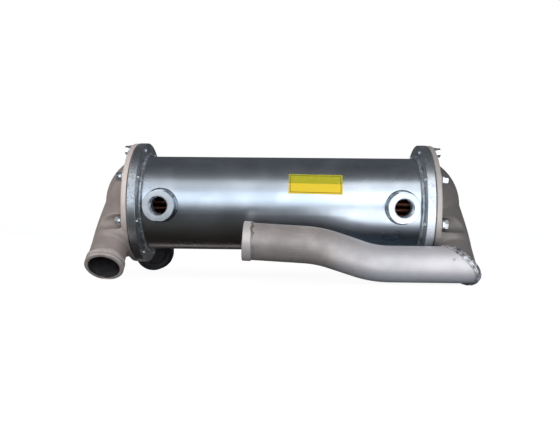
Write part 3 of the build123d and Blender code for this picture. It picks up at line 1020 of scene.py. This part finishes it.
@dataclass
class Shell:
    """The plated shell, its ring flanges, their weld beads and the label."""

    finishes: Finishes
    shell_r: float = 0.076
    ring_r: float = 0.0975
    ring_from: float = 0.219
    ring_to: float = 0.232
    ring_gap: float = 0.00005
    chamfer: float = 0.0008
    weld_leg: float = 0.006
    weld_sink: float = 0.0006
    ripples: float = 96.0

    def build(self) -> None:
        """Model the rings and welds and dress the shell."""
        dress(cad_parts["shell"], self.finishes.plate)
        dress(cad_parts["label"], self.finishes.label)
        inner, outer, corner = self.shell_r + self.ring_gap, self.ring_r, self.chamfer
        ring = turned(
            "ring_flange_right",
            [(self.ring_from, inner), (self.ring_from, outer - corner),
             (self.ring_from + corner, outer), (self.ring_to - corner, outer),
             (self.ring_to, outer - corner), (self.ring_to, inner)],
            160,
        )
        shade(ring)
        dress(ring, self.finishes.ring)
        weld = self.weld_ring()
        fit_pair(ring, "zinc_plate", "flange", flat_faced=True)
        fit_pair(weld, "steel_weld", "flange_weld")

    def weld_ring(self) -> Piece:
        """Model the rippled fillet between the right ring and the shell.

        Returns:
            The bead.
        """
        core, half = 0.34 * self.weld_leg, 0.50 * self.weld_leg

        def place(round_share: float, across_share: float) -> Triple:
            """Place one vertex of the bead.

            Args:
                round_share: its share of the way round.
                across_share: its share of the way across.

            Returns:
                Its place.
            """
            angle = FULL_TURN * round_share
            turn = FULL_TURN * across_share
            swell = 1.0 + 0.10 * ripple(self.ripples * round_share) + 0.06 * wobble(angle, 1.7)
            out = core + half * swell * math.cos(turn)
            back = core + half * swell * math.sin(turn)
            x = self.ring_from - max(back, -self.weld_sink)
            return polar(x, self.shell_r + max(out, -self.weld_sink), angle)

        bead = wrapped("ring_weld_right", 480, 12, place)
        shade(bead, 60.0)
        dress(bead, self.finishes.steel_weld)
        return bead


@dataclass
class OilPort:
    """An oil port: flatted boss with a threaded bore, and its weld collar."""

    finishes: Finishes
    centre_x: float = 0.185
    dip: float = 4.0
    reach: float = 0.096
    root: float = 0.066
    outer_r: float = 0.02425
    corner: float = 0.0006
    flats: float = 0.0225
    flat_depth: float = 0.012
    bore_r: float = 0.0139
    thread_depth: float = 0.0009
    thread_end: float = 0.0012
    pitch: float = 0.0020
    lead: float = 0.0014
    shell_r: float = 0.076
    collar_half: float = 0.0020
    ripples: float = 44.0

    def seat(self) -> Matrix:
        """Give the right port's place.

        Returns:
            The move from a boss that is turned along +X.
        """
        turn = Matrix.Rotation(math.radians(self.dip), 4, "X")
        to_front = Matrix.Rotation(math.radians(-90.0), 4, "Z")
        return Matrix.Translation((self.centre_x, 0, 0)) @ turn @ to_front

    def boss(self) -> Piece:
        """Model the right boss with its flats and its thread.

        Returns:
            The boss.
        """
        r, reach, bore = self.outer_r, self.reach, self.bore_r + self.thread_depth
        body = turned(
            "oil_port_right",
            [(self.root, bore), (self.root, r), (reach - self.corner, r),
             (reach, r - self.corner), (reach, self.bore_r + self.lead),
             (reach - self.lead + self.thread_depth, bore)],
            128,
        )
        for sign in (1, -1):
            middle = (reach - self.flat_depth / 2 + 0.0001, 0, sign * (self.flats + r / 2))
            size = (self.flat_depth, 4 * r, r)
            cut(body, block("flat_cutter", size, Matrix.Translation(middle)))
        soften(body, 0.0004, 2, 30.0)
        length = reach - self.thread_end - self.root
        turns = length / self.pitch

        def wall(round_share: float, along: float) -> Triple:
            """Place one vertex of the thread.

            Args:
                round_share: its share of the way round.
                along: its share of the way along.

            Returns:
                Its place.
            """
            depth = min(1.0, max(0.0, 1.3 * groove(turns * along + round_share) - 0.15))
            radius = self.bore_r + self.thread_depth * depth
            return polar(self.root + length * along, radius, FULL_TURN * round_share)

        thread = wrapped("oil_port_thread", 72, 150, wall)
        thread.data.flip_normals()
        piece = joined("oil_port_right", [body, thread])
        piece.data.transform(self.seat())
        shade(piece, 32.0)
        outward = self.seat().to_3x3() @ Vector((1.0, 0.0, 0.0))
        middle = Vector((self.centre_x, 0.0, 0.0))
        # The round sides of the boss get the darker bluish copy: painted shade and reflection of
        # the shell.
        dress(piece, self.finishes.bright, self.finishes.port_side,
              lambda face: outwardness(face, middle, outward) > 0.8)
        return piece

    def collar(self) -> Piece:
        """Model the rippled weld between the right boss and the shell.

        Returns:
            The collar.
        """
        seat = self.seat()

        def place(round_share: float, across_share: float) -> Triple:
            """Place one vertex of the collar.

            Args:
                round_share: its share of the way round.
                across_share: its share of the way across.

            Returns:
                Its place.
            """
            angle = FULL_TURN * round_share
            turn = FULL_TURN * across_share
            swell = 1.0 + 0.04 * ripple(self.ripples * round_share) + 0.05 * wobble(angle, 0.6)
            half = self.collar_half * swell
            radius = self.outer_r + 0.0005 + half * math.cos(turn)
            side, rise = radius * math.cos(angle), radius * math.sin(angle)
            depth = math.sqrt(max(self.shell_r ** 2 - rise ** 2, 0.0))
            lift = 0.0004 + half * math.sin(turn)
            return tuple(seat @ Vector((depth + lift, -side, rise)))

        bead = wrapped("oil_port_weld_right", 260, 12, place)
        shade(bead, 60.0)
        dress(bead, self.finishes.port_weld)
        return bead

    def build(self) -> None:
        """Model both ports."""
        boss = self.boss()
        collar = self.collar()
        fit_pair(boss, "zinc_bright", "port_boss", flat_faced=True)
        fit_pair(collar, "steel_weld", "port_weld")


@dataclass
class EndCover:
    """A cast end cover, its sharp solid turned into a casting with soft corners."""

    finishes: Finishes
    side: Side
    voxel: float = 0.0014
    face_x: float = 0.2430
    soft_over: float = 0.006
    soft_passes: int = 13
    soft_least: float = 0.03
    soft_stub: float = 0.12
    soft_pads: float = 0.2
    stub_from_r: float = 0.135
    pads_from_r: float = 0.074
    pads_high: float = 0.014
    stub_x: float = 0.2640
    stub_reach: float = 0.1275
    splay: float = 0.7
    end_at: float = 0.01363
    hose_r: float = 0.0275
    bore_r: float = 0.0235
    bore_long: float = 0.060
    bore_from_x: float = 0.234
    bead_r: float = 0.02925
    bead_length: float = 0.014

    def build(self) -> None:
        """Copy the solid, remesh it and smooth its corners."""
        deselect()
        cover = copied(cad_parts[f"{self.side.word}_end_cover"], Matrix.Identity(4))
        cover.parent = None
        for key in list(cover.keys()):
            del cover[key]
        named(f"cast_cover_{self.side.word}", cover)
        close_up(cover, 0.00002)
        modify(cover, "REMESH", mode="VOXEL", voxel_size=self.voxel)
        group = cover.vertex_groups.new(name="soft")
        for vertex in cover.data.vertices:
            group.add([vertex.index], self.softness(vertex.co), "REPLACE")
        modify(cover, "SMOOTH", factor=0.5, iterations=self.soft_passes, vertex_group="soft")
        cover.vertex_groups.clear()
        only(cover)
        bpy.ops.object.shade_smooth()
        # The right cover gets the darker copy of the casting, as painted shade.
        metal = self.finishes.cast if self.side is Side.LEFT else self.finishes.cast_shaded
        # Faces inside the stub's bore get painted shade.
        dress(cover, metal, self.finishes.water_side, self.is_water_side)
        if self.side is Side.LEFT:
            cover = joined(cover.name, [cover, self.hose_end(self.finishes.machined)])
        fit_in(cover, "cast_aluminium", f"{self.side.word}_end_cover")

    def softness(self, spot: Vector) -> float:
        """Give the share of smoothing at a place: little on flange, screw pads and stub.

        Args:
            spot: the place.

        Returns:
            A share between 0 and 1.
        """
        x, radius = abs(spot.x), math.hypot(spot.y, spot.z)
        share = min(1.0, max(0.0, (x - self.face_x) / self.soft_over))
        if radius > self.stub_from_r:
            share *= self.soft_stub
        elif x < self.face_x + self.pads_high and radius > self.pads_from_r:
            share *= self.soft_pads
        return max(share, self.soft_least)

    def stub_axis(self) -> tuple[Vector, Vector]:
        """Find the point where this side's stub meets the mitre, and the way it points.

        Returns:
            The point, and the direction of length 1.
        """
        depth = -self.stub_reach * math.sqrt(0.5)
        middle = Vector((self.side.value * self.stub_x, depth, depth))
        return middle, stub_way(self.side, self.splay)

    def is_water_side(self, face: Face) -> bool:
        """Tell whether a face looks into the stub's bore, which gets painted shade.

        Args:
            face: the face.

        Returns:
            True for a face of the bore.
        """
        middle, along = self.stub_axis()
        away = face.center - middle
        station = away.dot(along)
        if station < -self.bore_long or abs(face.center.x) < self.bore_from_x:
            return False
        near = (away - along * station).length < self.bore_r + 0.001
        return near and outwardness(face, middle, along) < 0.0

    def hose_end(self, metal: Material) -> Piece:
        """Turn the machined hose end: its raised bead, its lip and the first of its bore.

        Args:
            metal: the finish of the outside.

        Returns:
            The turned end, in place.
        """
        over = 0.0001
        bore, outer, bead = self.bore_r - over, self.hose_r + over, self.bead_r + over
        start = -self.bead_length
        end = turned(
            "hose_end",
            [(start - 0.0030, bore), (start - 0.0030, outer - 0.0004), (start - 0.0020, outer),
             (start - 0.0006, outer), (start - 0.0002, outer + 0.0003),
             (start + 0.0001, bead - 0.0006), (start + 0.0010, bead), (-0.0070, bead),
             (-0.0060, bead - 0.0003), (-0.0050, bead - 0.0003), (-0.0040, bead),
             (-0.0012, bead), (-0.0003, bead - 0.0008), (0.0, bead - 0.0018),
             (0.0, bore + 0.0012), (-0.0004, bore + 0.0004), (-0.0014, bore)],
            160,
        )
        middle, along = self.stub_axis()
        for vertex in end.data.vertices:
            angle = math.atan2(vertex.co.z, vertex.co.y)
            vertex.co *= 1.0 + 0.0012 * wobble(angle, 150.0 * vertex.co.x)
        turn = Vector((1.0, 0.0, 0.0)).rotation_difference(along).to_matrix().to_4x4()
        end.data.transform(Matrix.Translation(middle + along * self.end_at) @ turn)
        shade(end, 40.0)
        # The bore side of the hose end gets painted shade too.
        dress(end, metal, self.finishes.water_side,
              lambda face: outwardness(face, middle, along) < -0.9)
        return end


@dataclass
class CoverScrews:
    """The cover screws of both ends, with washers, studs and threaded tips."""

    finishes: Finishes
    circle_r: float = 0.0885
    phase: float = 20.0
    count: int = 8
    own_turn: float = 1.3
    stud_index: int = 5
    stud_end: float = 0.2395
    pad_x: float = 0.2430
    flat_thick: float = 0.0016
    flat_radii: tuple[float, float] = (0.0042, 0.008)
    spring_thick: float = 0.0020
    spring_radii: tuple[float, float] = (0.0041, 0.0073)
    slit_wide: float = 0.0012
    slit_high: float = 0.009
    slit_lean: float = 20.0
    head_flats: float = 0.013
    head_high: float = 0.0053
    chamfer_share: float = 0.95
    chamfer_slope: float = 30.0
    shank_r: float = 0.004
    length: float = 0.030
    lead: float = 0.0009
    pitch: float = 0.00125
    thread_depth: float = 0.00065

    @property
    def seat_x(self) -> float:
        """Station of the underside of the heads."""
        return self.pad_x + self.flat_thick + self.spring_thick

    def head(self) -> Piece:
        """Model one hexagon head with its turned chamfer.

        Returns:
            The head.
        """
        deselect()
        across = self.head_flats / math.cos(FULL_TURN / 12)
        bpy.ops.mesh.primitive_cylinder_add(vertices=6, radius=across / 2, depth=self.head_high)
        head = named("screw_head")
        middle = Matrix.Translation((self.seat_x + self.head_high / 2, 0, 0))
        head.data.transform(middle @ Matrix.Rotation(FULL_TURN / 4, 4, "Y"))
        low, top, drop = self.seat_x - 0.001, self.seat_x + self.head_high, 0.004
        rim = self.head_flats / 2 * self.chamfer_share
        wide = rim + drop / math.tan(math.radians(self.chamfer_slope))
        profile = [(low, 0.0), (low, wide), (top - drop, wide), (top, rim), (top, 0.0)]
        cut(head, turned("head_chamfer", profile, 64), "INTERSECT")
        soften(head, 0.00025, 2, 25.0)
        return head

    def shank(self, end_x: float) -> Piece:
        """Model a threaded shank from the tip to a station.

        Args:
            end_x: where the shank ends under the head or in the cover.

        Returns:
            The shank.
        """
        tip_x = self.seat_x - self.length
        turns = (end_x - tip_x) / self.pitch

        def wall(round_share: float, along: float) -> Triple:
            """Place one vertex of the thread, with a chamfered lead and closed ends.

            Args:
                round_share: its share of the way round.
                along: its share of the way along.

            Returns:
                Its place.
            """
            x = tip_x + (end_x - tip_x) * along
            radius = self.shank_r - self.thread_depth * groove(turns * along + round_share)
            radius = min(radius, self.shank_r - self.lead + x - tip_x)
            if along < 1e-6 or along > 1.0 - 1e-6:
                radius = 0.0
            return polar(x, radius, FULL_TURN * round_share)

        return wrapped("screw_shank", 20, int(turns * 4), wall)

    def washer(self, name: str, start: float, thick: float, inner: float, outer: float) -> Piece:
        """Turn one washer.

        Args:
            name: the washer's name.
            start: the station of its near face.
            thick: its thickness.
            inner: its bore's radius.
            outer: its radius.

        Returns:
            The washer.
        """
        far = start + thick
        return turned(name, [(start, inner), (start, outer), (far, outer), (far, inner)], 40)

    def washers(self) -> list[Piece]:
        """Model one flat and one split spring washer.

        Returns:
            The flat one and the spring one.
        """
        flat = self.washer("flat_washer", self.pad_x, self.flat_thick, *self.flat_radii)
        soften(flat, 0.0002, 1)
        start, thick = self.pad_x + self.flat_thick, self.spring_thick
        spring = self.washer("spring_washer", start, thick, *self.spring_radii)
        middle = Matrix.Translation((start + thick / 2, 0, self.slit_high / 2))
        slant = Matrix.Rotation(math.radians(self.slit_lean), 4, "Z")
        slit = block("slit", (3 * thick, self.slit_wide, self.slit_high), middle @ slant)
        cut(spring, slit)
        return [flat, spring]

    def ring(self, part: Piece, name: str, indices: Sequence[int]) -> Piece:
        """Copy a part round the screw circle and join the copies.

        Args:
            part: the part, modelled on the shell's centre line.
            name: the joined piece's name.
            indices: the places on the circle that get one.

        Returns:
            The joined piece.
        """
        copies = []
        for index in indices:
            angle = math.radians(self.phase + 360.0 / self.count * index)
            place = Matrix.Translation(polar(0.0, self.circle_r, angle))
            own_turn = Matrix.Rotation(self.own_turn * index, 4, "X")
            copies.append(copied(part, place @ own_turn))
        discard(part)
        piece = joined(name, copies)
        shade(piece, 32.0)
        dress(piece, self.finishes.bright)
        return piece

    def build(self) -> None:
        """Model all screws, studs and washers and mirror them to the left."""
        open_places = [index for index in range(self.count) if index != self.stud_index]
        screw = joined("screw", [self.head(), self.shank(self.seat_x + 0.0005)])
        flat, spring = self.washers()
        stud = self.shank(self.stud_end)
        pieces = {
            "cover_screws": self.ring(screw, "screws_right", open_places),
            "flat_washers": self.ring(flat, "flat_washers_right", open_places),
            "spring_washers": self.ring(spring, "spring_washers_right", open_places),
            "cover_stud": self.ring(stud, "stud_right", [self.stud_index]),
        }
        for node, piece in pieces.items():
            fit_pair(piece, "zinc_bright", node, flat_faced=True)


@dataclass(frozen=True)
class WeldRun:
    """One run of a weld: its offset, height, half width, ripples round it and their phase."""

    aside: float
    high: float
    wide: float
    ripples: float
    phase: float


@dataclass
class ReturnPipe:
    """The bent return pipe and the hand-laid weld that joins it to the right cover."""

    finishes: Finishes
    hose_r: float = 0.0275
    centre: Triple = (0.2640, -0.09016, -0.09016)
    splay: float = 0.7
    runs: tuple[WeldRun, ...] = (
        WeldRun(0.0, 0.0022, 0.0034, 30.0, 0.0),
        WeldRun(-0.0030, 0.0014, 0.0026, 23.0, 0.4),
        WeldRun(0.0030, 0.0012, 0.0026, 26.0, 0.7),
    )

    def weld(self) -> Piece:
        """Model the weld as overlapping runs round the mitre's ellipse.

        Returns:
            The weld.
        """
        stub = stub_way(Side.RIGHT, self.splay)
        pipe = Vector((-1.0, 0.0, 0.0))
        major = (stub - pipe).normalized()
        normal = (stub + pipe).normalized()
        minor = normal.cross(major)
        short_r = self.hose_r
        long_r = short_r / math.cos(math.acos(stub.dot(pipe)) / 2.0)

        def laid(run: WeldRun) -> Piece:
            """Lay one run.

            Args:
                run: its sizes.

            Returns:
                The run.
            """

            def place(round_share: float, across_share: float) -> Triple:
                """Place one vertex of the run.

                Args:
                    round_share: its share of the way round.
                    across_share: its share of the way across.

                Returns:
                    Its place.
                """
                angle = FULL_TURN * round_share
                turn = FULL_TURN * across_share
                cos, sin = math.cos(angle), math.sin(angle)
                seam = major * (long_r * cos) + minor * (short_r * sin)
                outward = (major * (cos / long_r) + minor * (sin / short_r)).normalized()
                swell = 0.70 + 0.24 * ripple(run.ripples * round_share + run.phase)
                swell += 0.06 * wobble(angle, 2.1 + run.phase)
                flush = 1.0 - 0.6 * max(0.0, cos) ** 8
                height = run.high * swell * flush * math.cos(turn)
                stray = 0.0007 * wobble(2.0 * angle, 0.4 + run.phase)
                width = run.wide * swell * math.sin(turn) + run.aside + stray
                return tuple(Vector(self.centre) + seam + outward * height + normal * width)

            return wrapped("elbow_weld_run", 560, 12, place)

        bead = joined("elbow_weld", [laid(run) for run in self.runs])
        shade(bead, 60.0)
        dress(bead, self.finishes.alloy_weld)
        return bead

    def build(self) -> None:
        """Dress the pipe and model its weld."""
        dress(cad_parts["return_pipe"], self.finishes.pipe)
        fit_in(self.weld(), "weld_aluminium", "return_pipe_weld")


@dataclass
class RearFoot:
    """The moulded rubber foot on its bracket."""

    finishes: Finishes
    length: float = 0.026
    outer_r: float = 0.0327
    rim: float = 0.005
    recess: float = 0.003
    disc_r: float = 0.014
    disc_thick: float = 0.003

    def build(self) -> None:
        """Model the rubber and dress the bracket and its fasteners."""
        low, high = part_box("rear_foot_buffer")
        r, back, deep = self.outer_r, self.length, self.recess
        dish = r - self.rim
        rubber = turned(
            "foot_rubber",
            [(deep, 0.0), (deep, dish - 0.0090), (deep - 0.0012, dish - 0.0080),
             (deep - 0.0012, dish - 0.0065), (deep, dish - 0.0055), (deep, dish - 0.0010),
             (deep - 0.0006, dish), (0.0006, dish), (0.0, dish + 0.0006), (0.0, r - 0.0015),
             (0.0005, r - 0.0004), (0.0015, r), (back - 0.0015, r), (back - 0.0005, r - 0.0004),
             (back, r - 0.0015), (back, self.disc_r), (back - self.disc_thick, self.disc_r),
             (back - self.disc_thick, 0.0)],
            112,
        )
        front = Matrix.Translation(((low[0] + high[0]) / 2, low[1], (low[2] + high[2]) / 2))
        rubber.data.transform(front @ Matrix.Rotation(FULL_TURN / 4, 4, "Z"))
        shade(rubber, 50.0)
        dress(rubber, self.finishes.rubber)
        fit_in(rubber, "black_rubber", "rear_foot_buffer")
        for node in ("bracket", "bracket_weld"):
            dress(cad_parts[f"rear_foot_{node}"], self.finishes.paint)
        for node in ("stud", "washer", "nut"):
            dress(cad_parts[f"rear_foot_{node}"], self.finishes.bright)


@dataclass
class TubeBundle:
    """Copper tubes, plates and rods inside the shell."""

    finishes: Finishes

    def build(self) -> None:
        """Dress the bundle and the gaskets."""
        dress(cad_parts["copper_tubes"], self.finishes.copper)
        for name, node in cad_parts.items():
            if name.startswith("baffle") or name.endswith(("tube_sheet", "rod_spacers")):
                dress(node, self.finishes.brass)
            if name in ("tie_rods", "tie_rod_nuts"):
                dress(node, self.finishes.bright)
            if name.endswith("gasket"):
                dress(node, self.finishes.gasket)


# ---------------------------------------------------------------- studio


DAYLIGHT = (0.82, 0.91, 1.0)
ORIGIN = (0.0, 0.0, 0.0)


@dataclass(frozen=True)
class Card:
    """A matt card that only the metal's reflections show: its centre, aim, size and tone."""

    name: str
    place: Triple
    aim: Triple
    size: tuple[float, float]
    tone: Colour


@dataclass(frozen=True)
class Lamp:
    """A soft rectangular lamp, with its power in watts.

    reflected says whether the metal shows it, lights_matt whether matt surfaces get its light.
    """

    name: str
    place: Triple
    aim: Triple
    size: tuple[float, float]
    power: float
    colour: Colour = (1.0, 1.0, 1.0)
    reflected: bool = True
    lights_matt: bool = True


CARDS = (
    Card("mat_left", (-0.57, -0.52, -0.1185), (-0.57, -0.52, 1.0), (1.30, 1.06),
         (0.10, 0.095, 0.09)),
    Card("mat_right", (0.62, -0.06, -0.1185), (0.62, -0.06, 1.0), (1.08, 0.16), (0.36, 0.45, 0.54)),
    Card("mat_rear", (0.0, 0.86, -0.1185), (0.0, 0.86, 1.0), (3.2, 1.68), (0.115, 0.105, 0.095)),
    Card("ceiling", (0.0, -0.10, 1.3), ORIGIN, (3.2, 1.5), (0.34, 0.325, 0.315)),
    Card("rear_wall", (0.0, 0.75, 0.62), (0.0, 0.0, 0.3), (3.2, 1.5), (0.14, 0.14, 0.145)),
)
LAMPS = (
    Lamp("window_right", (0.825, -2.3, 0.60), ORIGIN, (1.95, 1.3), 18.9, DAYLIGHT),
    Lamp("window_middle", (-0.405, -2.3, 0.50), ORIGIN, (0.51, 1.1), 2.4, DAYLIGHT),
    Lamp("window_left", (-0.93, -2.3, 0.50), ORIGIN, (0.54, 1.1), 4.4, DAYLIGHT),
    Lamp("front_low", (0.2, -2.2, 0.0), (0.0, 0.0, -0.08), (2.4, 0.35), 5.0, reflected=False),
    Lamp("high_right", (0.75, -1.6, 1.55), ORIGIN, (1.5, 1.0), 5.4),
    Lamp("high_left", (-0.75, -1.6, 1.55), ORIGIN, (1.5, 1.0), 3.0),
    Lamp("left_box", (-2.0, -1.1, 0.8), (0.0, 0.0, -0.05), (1.2, 1.4), 8.0, (1.0, 0.97, 0.94)),
    Lamp("top_box", (0.2, -0.3, 2.0), ORIGIN, (2.4, 1.2), 9.0, reflected=False),
    Lamp("floor_patch", (0.36, -0.36, -0.117), (0.36, -0.36, 1.0), (0.56, 0.40), 0.8,
         (0.86, 0.94, 1.0), lights_matt=False),
    Lamp("floor_glow", (0.33, -0.22, -0.1165), (0.33, -0.22, 1.0), (0.30, 0.13), 0.35,
         reflected=False),
)


def aimed(place: Triple, aim: Triple, axis: str) -> Matrix:
    """Give the move that puts something at a place, facing a point.

    Args:
        place: where it stands.
        aim: the point it faces.
        axis: its own axis that faces the point.

    Returns:
        The move.
    """
    ahead = (Vector(aim) - Vector(place)).normalized()
    return Matrix.Translation(place) @ ahead.to_track_quat(axis, "Y").to_matrix().to_4x4()


@dataclass
class Studio:
    """Pale floor and backdrop, soft lamps, and the camera."""

    eye: Triple = (0.0184, -1.0233, -0.0179)
    yaw: float = -0.0208
    pitch: float = 0.0027
    roll: float = 0.0104
    focal_px: float = 620.0
    image_width: float = 560.0
    sensor: float = 36.0
    room: Colour = (0.30, 0.31, 0.32)
    floor_size: tuple[float, float] = (9.0, 4.6)
    floor_back: float = 0.5
    sweep: tuple[Triple, ...] = ((0.0, 0.25, 0.1), (0.0, 0.1, 0.25), (0.0, 0.0, 3.0))

    def camera(self) -> None:
        """Place the camera by the angles fitted to the photograph."""
        data = bpy.data.cameras.new("camera")
        data.sensor_width = self.sensor
        data.lens = self.focal_px / self.image_width * self.sensor
        camera = bpy.data.objects.new("camera", data)
        bpy.context.scene.collection.objects.link(camera)
        level = math.cos(self.pitch)
        ahead = Vector(
            (math.sin(self.yaw) * level, math.cos(self.yaw) * level, math.sin(self.pitch))
        )
        right = Vector((math.cos(self.yaw), -math.sin(self.yaw), 0.0))
        up = right.cross(ahead)
        turned_right = right * math.cos(self.roll) + up * math.sin(self.roll)
        turned_up = up * math.cos(self.roll) - right * math.sin(self.roll)
        axes = Matrix((turned_right, turned_up, -ahead)).transposed()
        camera.matrix_world = Matrix.Translation(self.eye) @ axes.to_4x4()
        bpy.context.scene.camera = camera

    def world(self) -> None:
        """Fill the rest of the room with an even grey, white to the camera."""
        world = bpy.data.worlds.new("room")
        world.use_nodes = True
        tree = world.node_tree
        path = tree.nodes.new("ShaderNodeLightPath")
        mix = tree.nodes.new("ShaderNodeMix")
        mix.data_type = "RGBA"
        mix.inputs[6].default_value = (*self.room, 1.0)
        mix.inputs[7].default_value = (1.0, 1.0, 1.0, 1.0)
        tree.links.new(path.outputs["Is Camera Ray"], mix.inputs[0])
        tree.links.new(mix.outputs[2], tree.nodes["Background"].inputs["Color"])
        bpy.context.scene.world = world

    def floor(self) -> None:
        """Model the floor and its upswept backdrop as one sheet."""
        deselect()
        bpy.ops.mesh.primitive_plane_add(size=1.0)
        sheet = named("floor")
        place = Matrix.Translation((0.0, -self.floor_back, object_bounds()[0][2]))
        sheet.data.transform(place @ Matrix.Diagonal((*self.floor_size, 1.0, 1.0)))
        bpy.ops.object.mode_set(mode="EDIT")
        bpy.ops.mesh.select_all(action="DESELECT")
        bpy.ops.object.mode_set(mode="OBJECT")
        for edge in sheet.data.edges:
            edge.select = all(sheet.data.vertices[index].co.y > 1.0 for index in edge.vertices)
        bpy.context.tool_settings.mesh_select_mode = (False, True, False)
        bpy.ops.object.mode_set(mode="EDIT")
        for step in self.sweep:
            bpy.ops.mesh.extrude_region_move(TRANSFORM_OT_translate={"value": step})
        bpy.ops.object.mode_set(mode="OBJECT")
        bpy.context.tool_settings.mesh_select_mode = (True, False, False)
        only(sheet)
        bpy.ops.object.shade_smooth()
        dress(sheet, Backdrop().make())
        sheet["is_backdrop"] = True

    def hang(self, card: Card) -> None:
        """Hang one card.

        Args:
            card: what to hang.
        """
        deselect()
        bpy.ops.mesh.primitive_plane_add(size=1.0)
        sheet = named(card.name)
        place = aimed(card.place, card.aim, "Z")
        sheet.data.transform(place @ Matrix.Diagonal((*card.size, 1.0, 1.0)))
        dress(sheet, PaleSurface(f"{card.name}_grey", card.tone).make())
        sheet.visible_camera = False
        sheet.visible_diffuse = False
        sheet.visible_shadow = False
        sheet.visible_transmission = False
        sheet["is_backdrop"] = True

    def light(self, lamp: Lamp) -> None:
        """Set up one lamp.

        Args:
            lamp: what to set up.
        """
        data = bpy.data.lights.new(lamp.name, "AREA")
        data.shape = "RECTANGLE"
        data.size, data.size_y = lamp.size
        data.energy = lamp.power
        data.color = lamp.colour
        holder = bpy.data.objects.new(lamp.name, data)
        holder.visible_glossy = lamp.reflected
        holder.visible_diffuse = lamp.lights_matt
        holder.visible_camera = False
        bpy.context.scene.collection.objects.link(holder)
        holder.matrix_world = aimed(lamp.place, lamp.aim, "-Z")

    def build(self) -> None:
        """Set up everything that isn't the cooler."""
        self.camera()
        self.world()
        self.floor()
        for card in CARDS:
            self.hang(card)
        for lamp in LAMPS:
            self.light(lamp)
        bpy.context.scene.view_settings.view_transform = "Standard"


def main() -> None:
    """Build the cooler's looks in order and log each stage."""
    logging.basicConfig(level=logging.INFO, format="%(name)s: %(message)s")
    finishes = Finishes()
    stages = [
        ("tube bundle", TubeBundle(finishes)),
        ("shell", Shell(finishes)),
        ("oil ports", OilPort(finishes)),
        ("left cover", EndCover(finishes, Side.LEFT)),
        ("right cover", EndCover(finishes, Side.RIGHT)),
        ("cover screws", CoverScrews(finishes)),
        ("return pipe", ReturnPipe(finishes)),
        ("rear foot", RearFoot(finishes)),
        ("studio", Studio()),
    ]
    for name, part in stages:
        part.build()
        LOG.info("built %s", name)
    deselect()


if __name__ == "__main__":
    main()
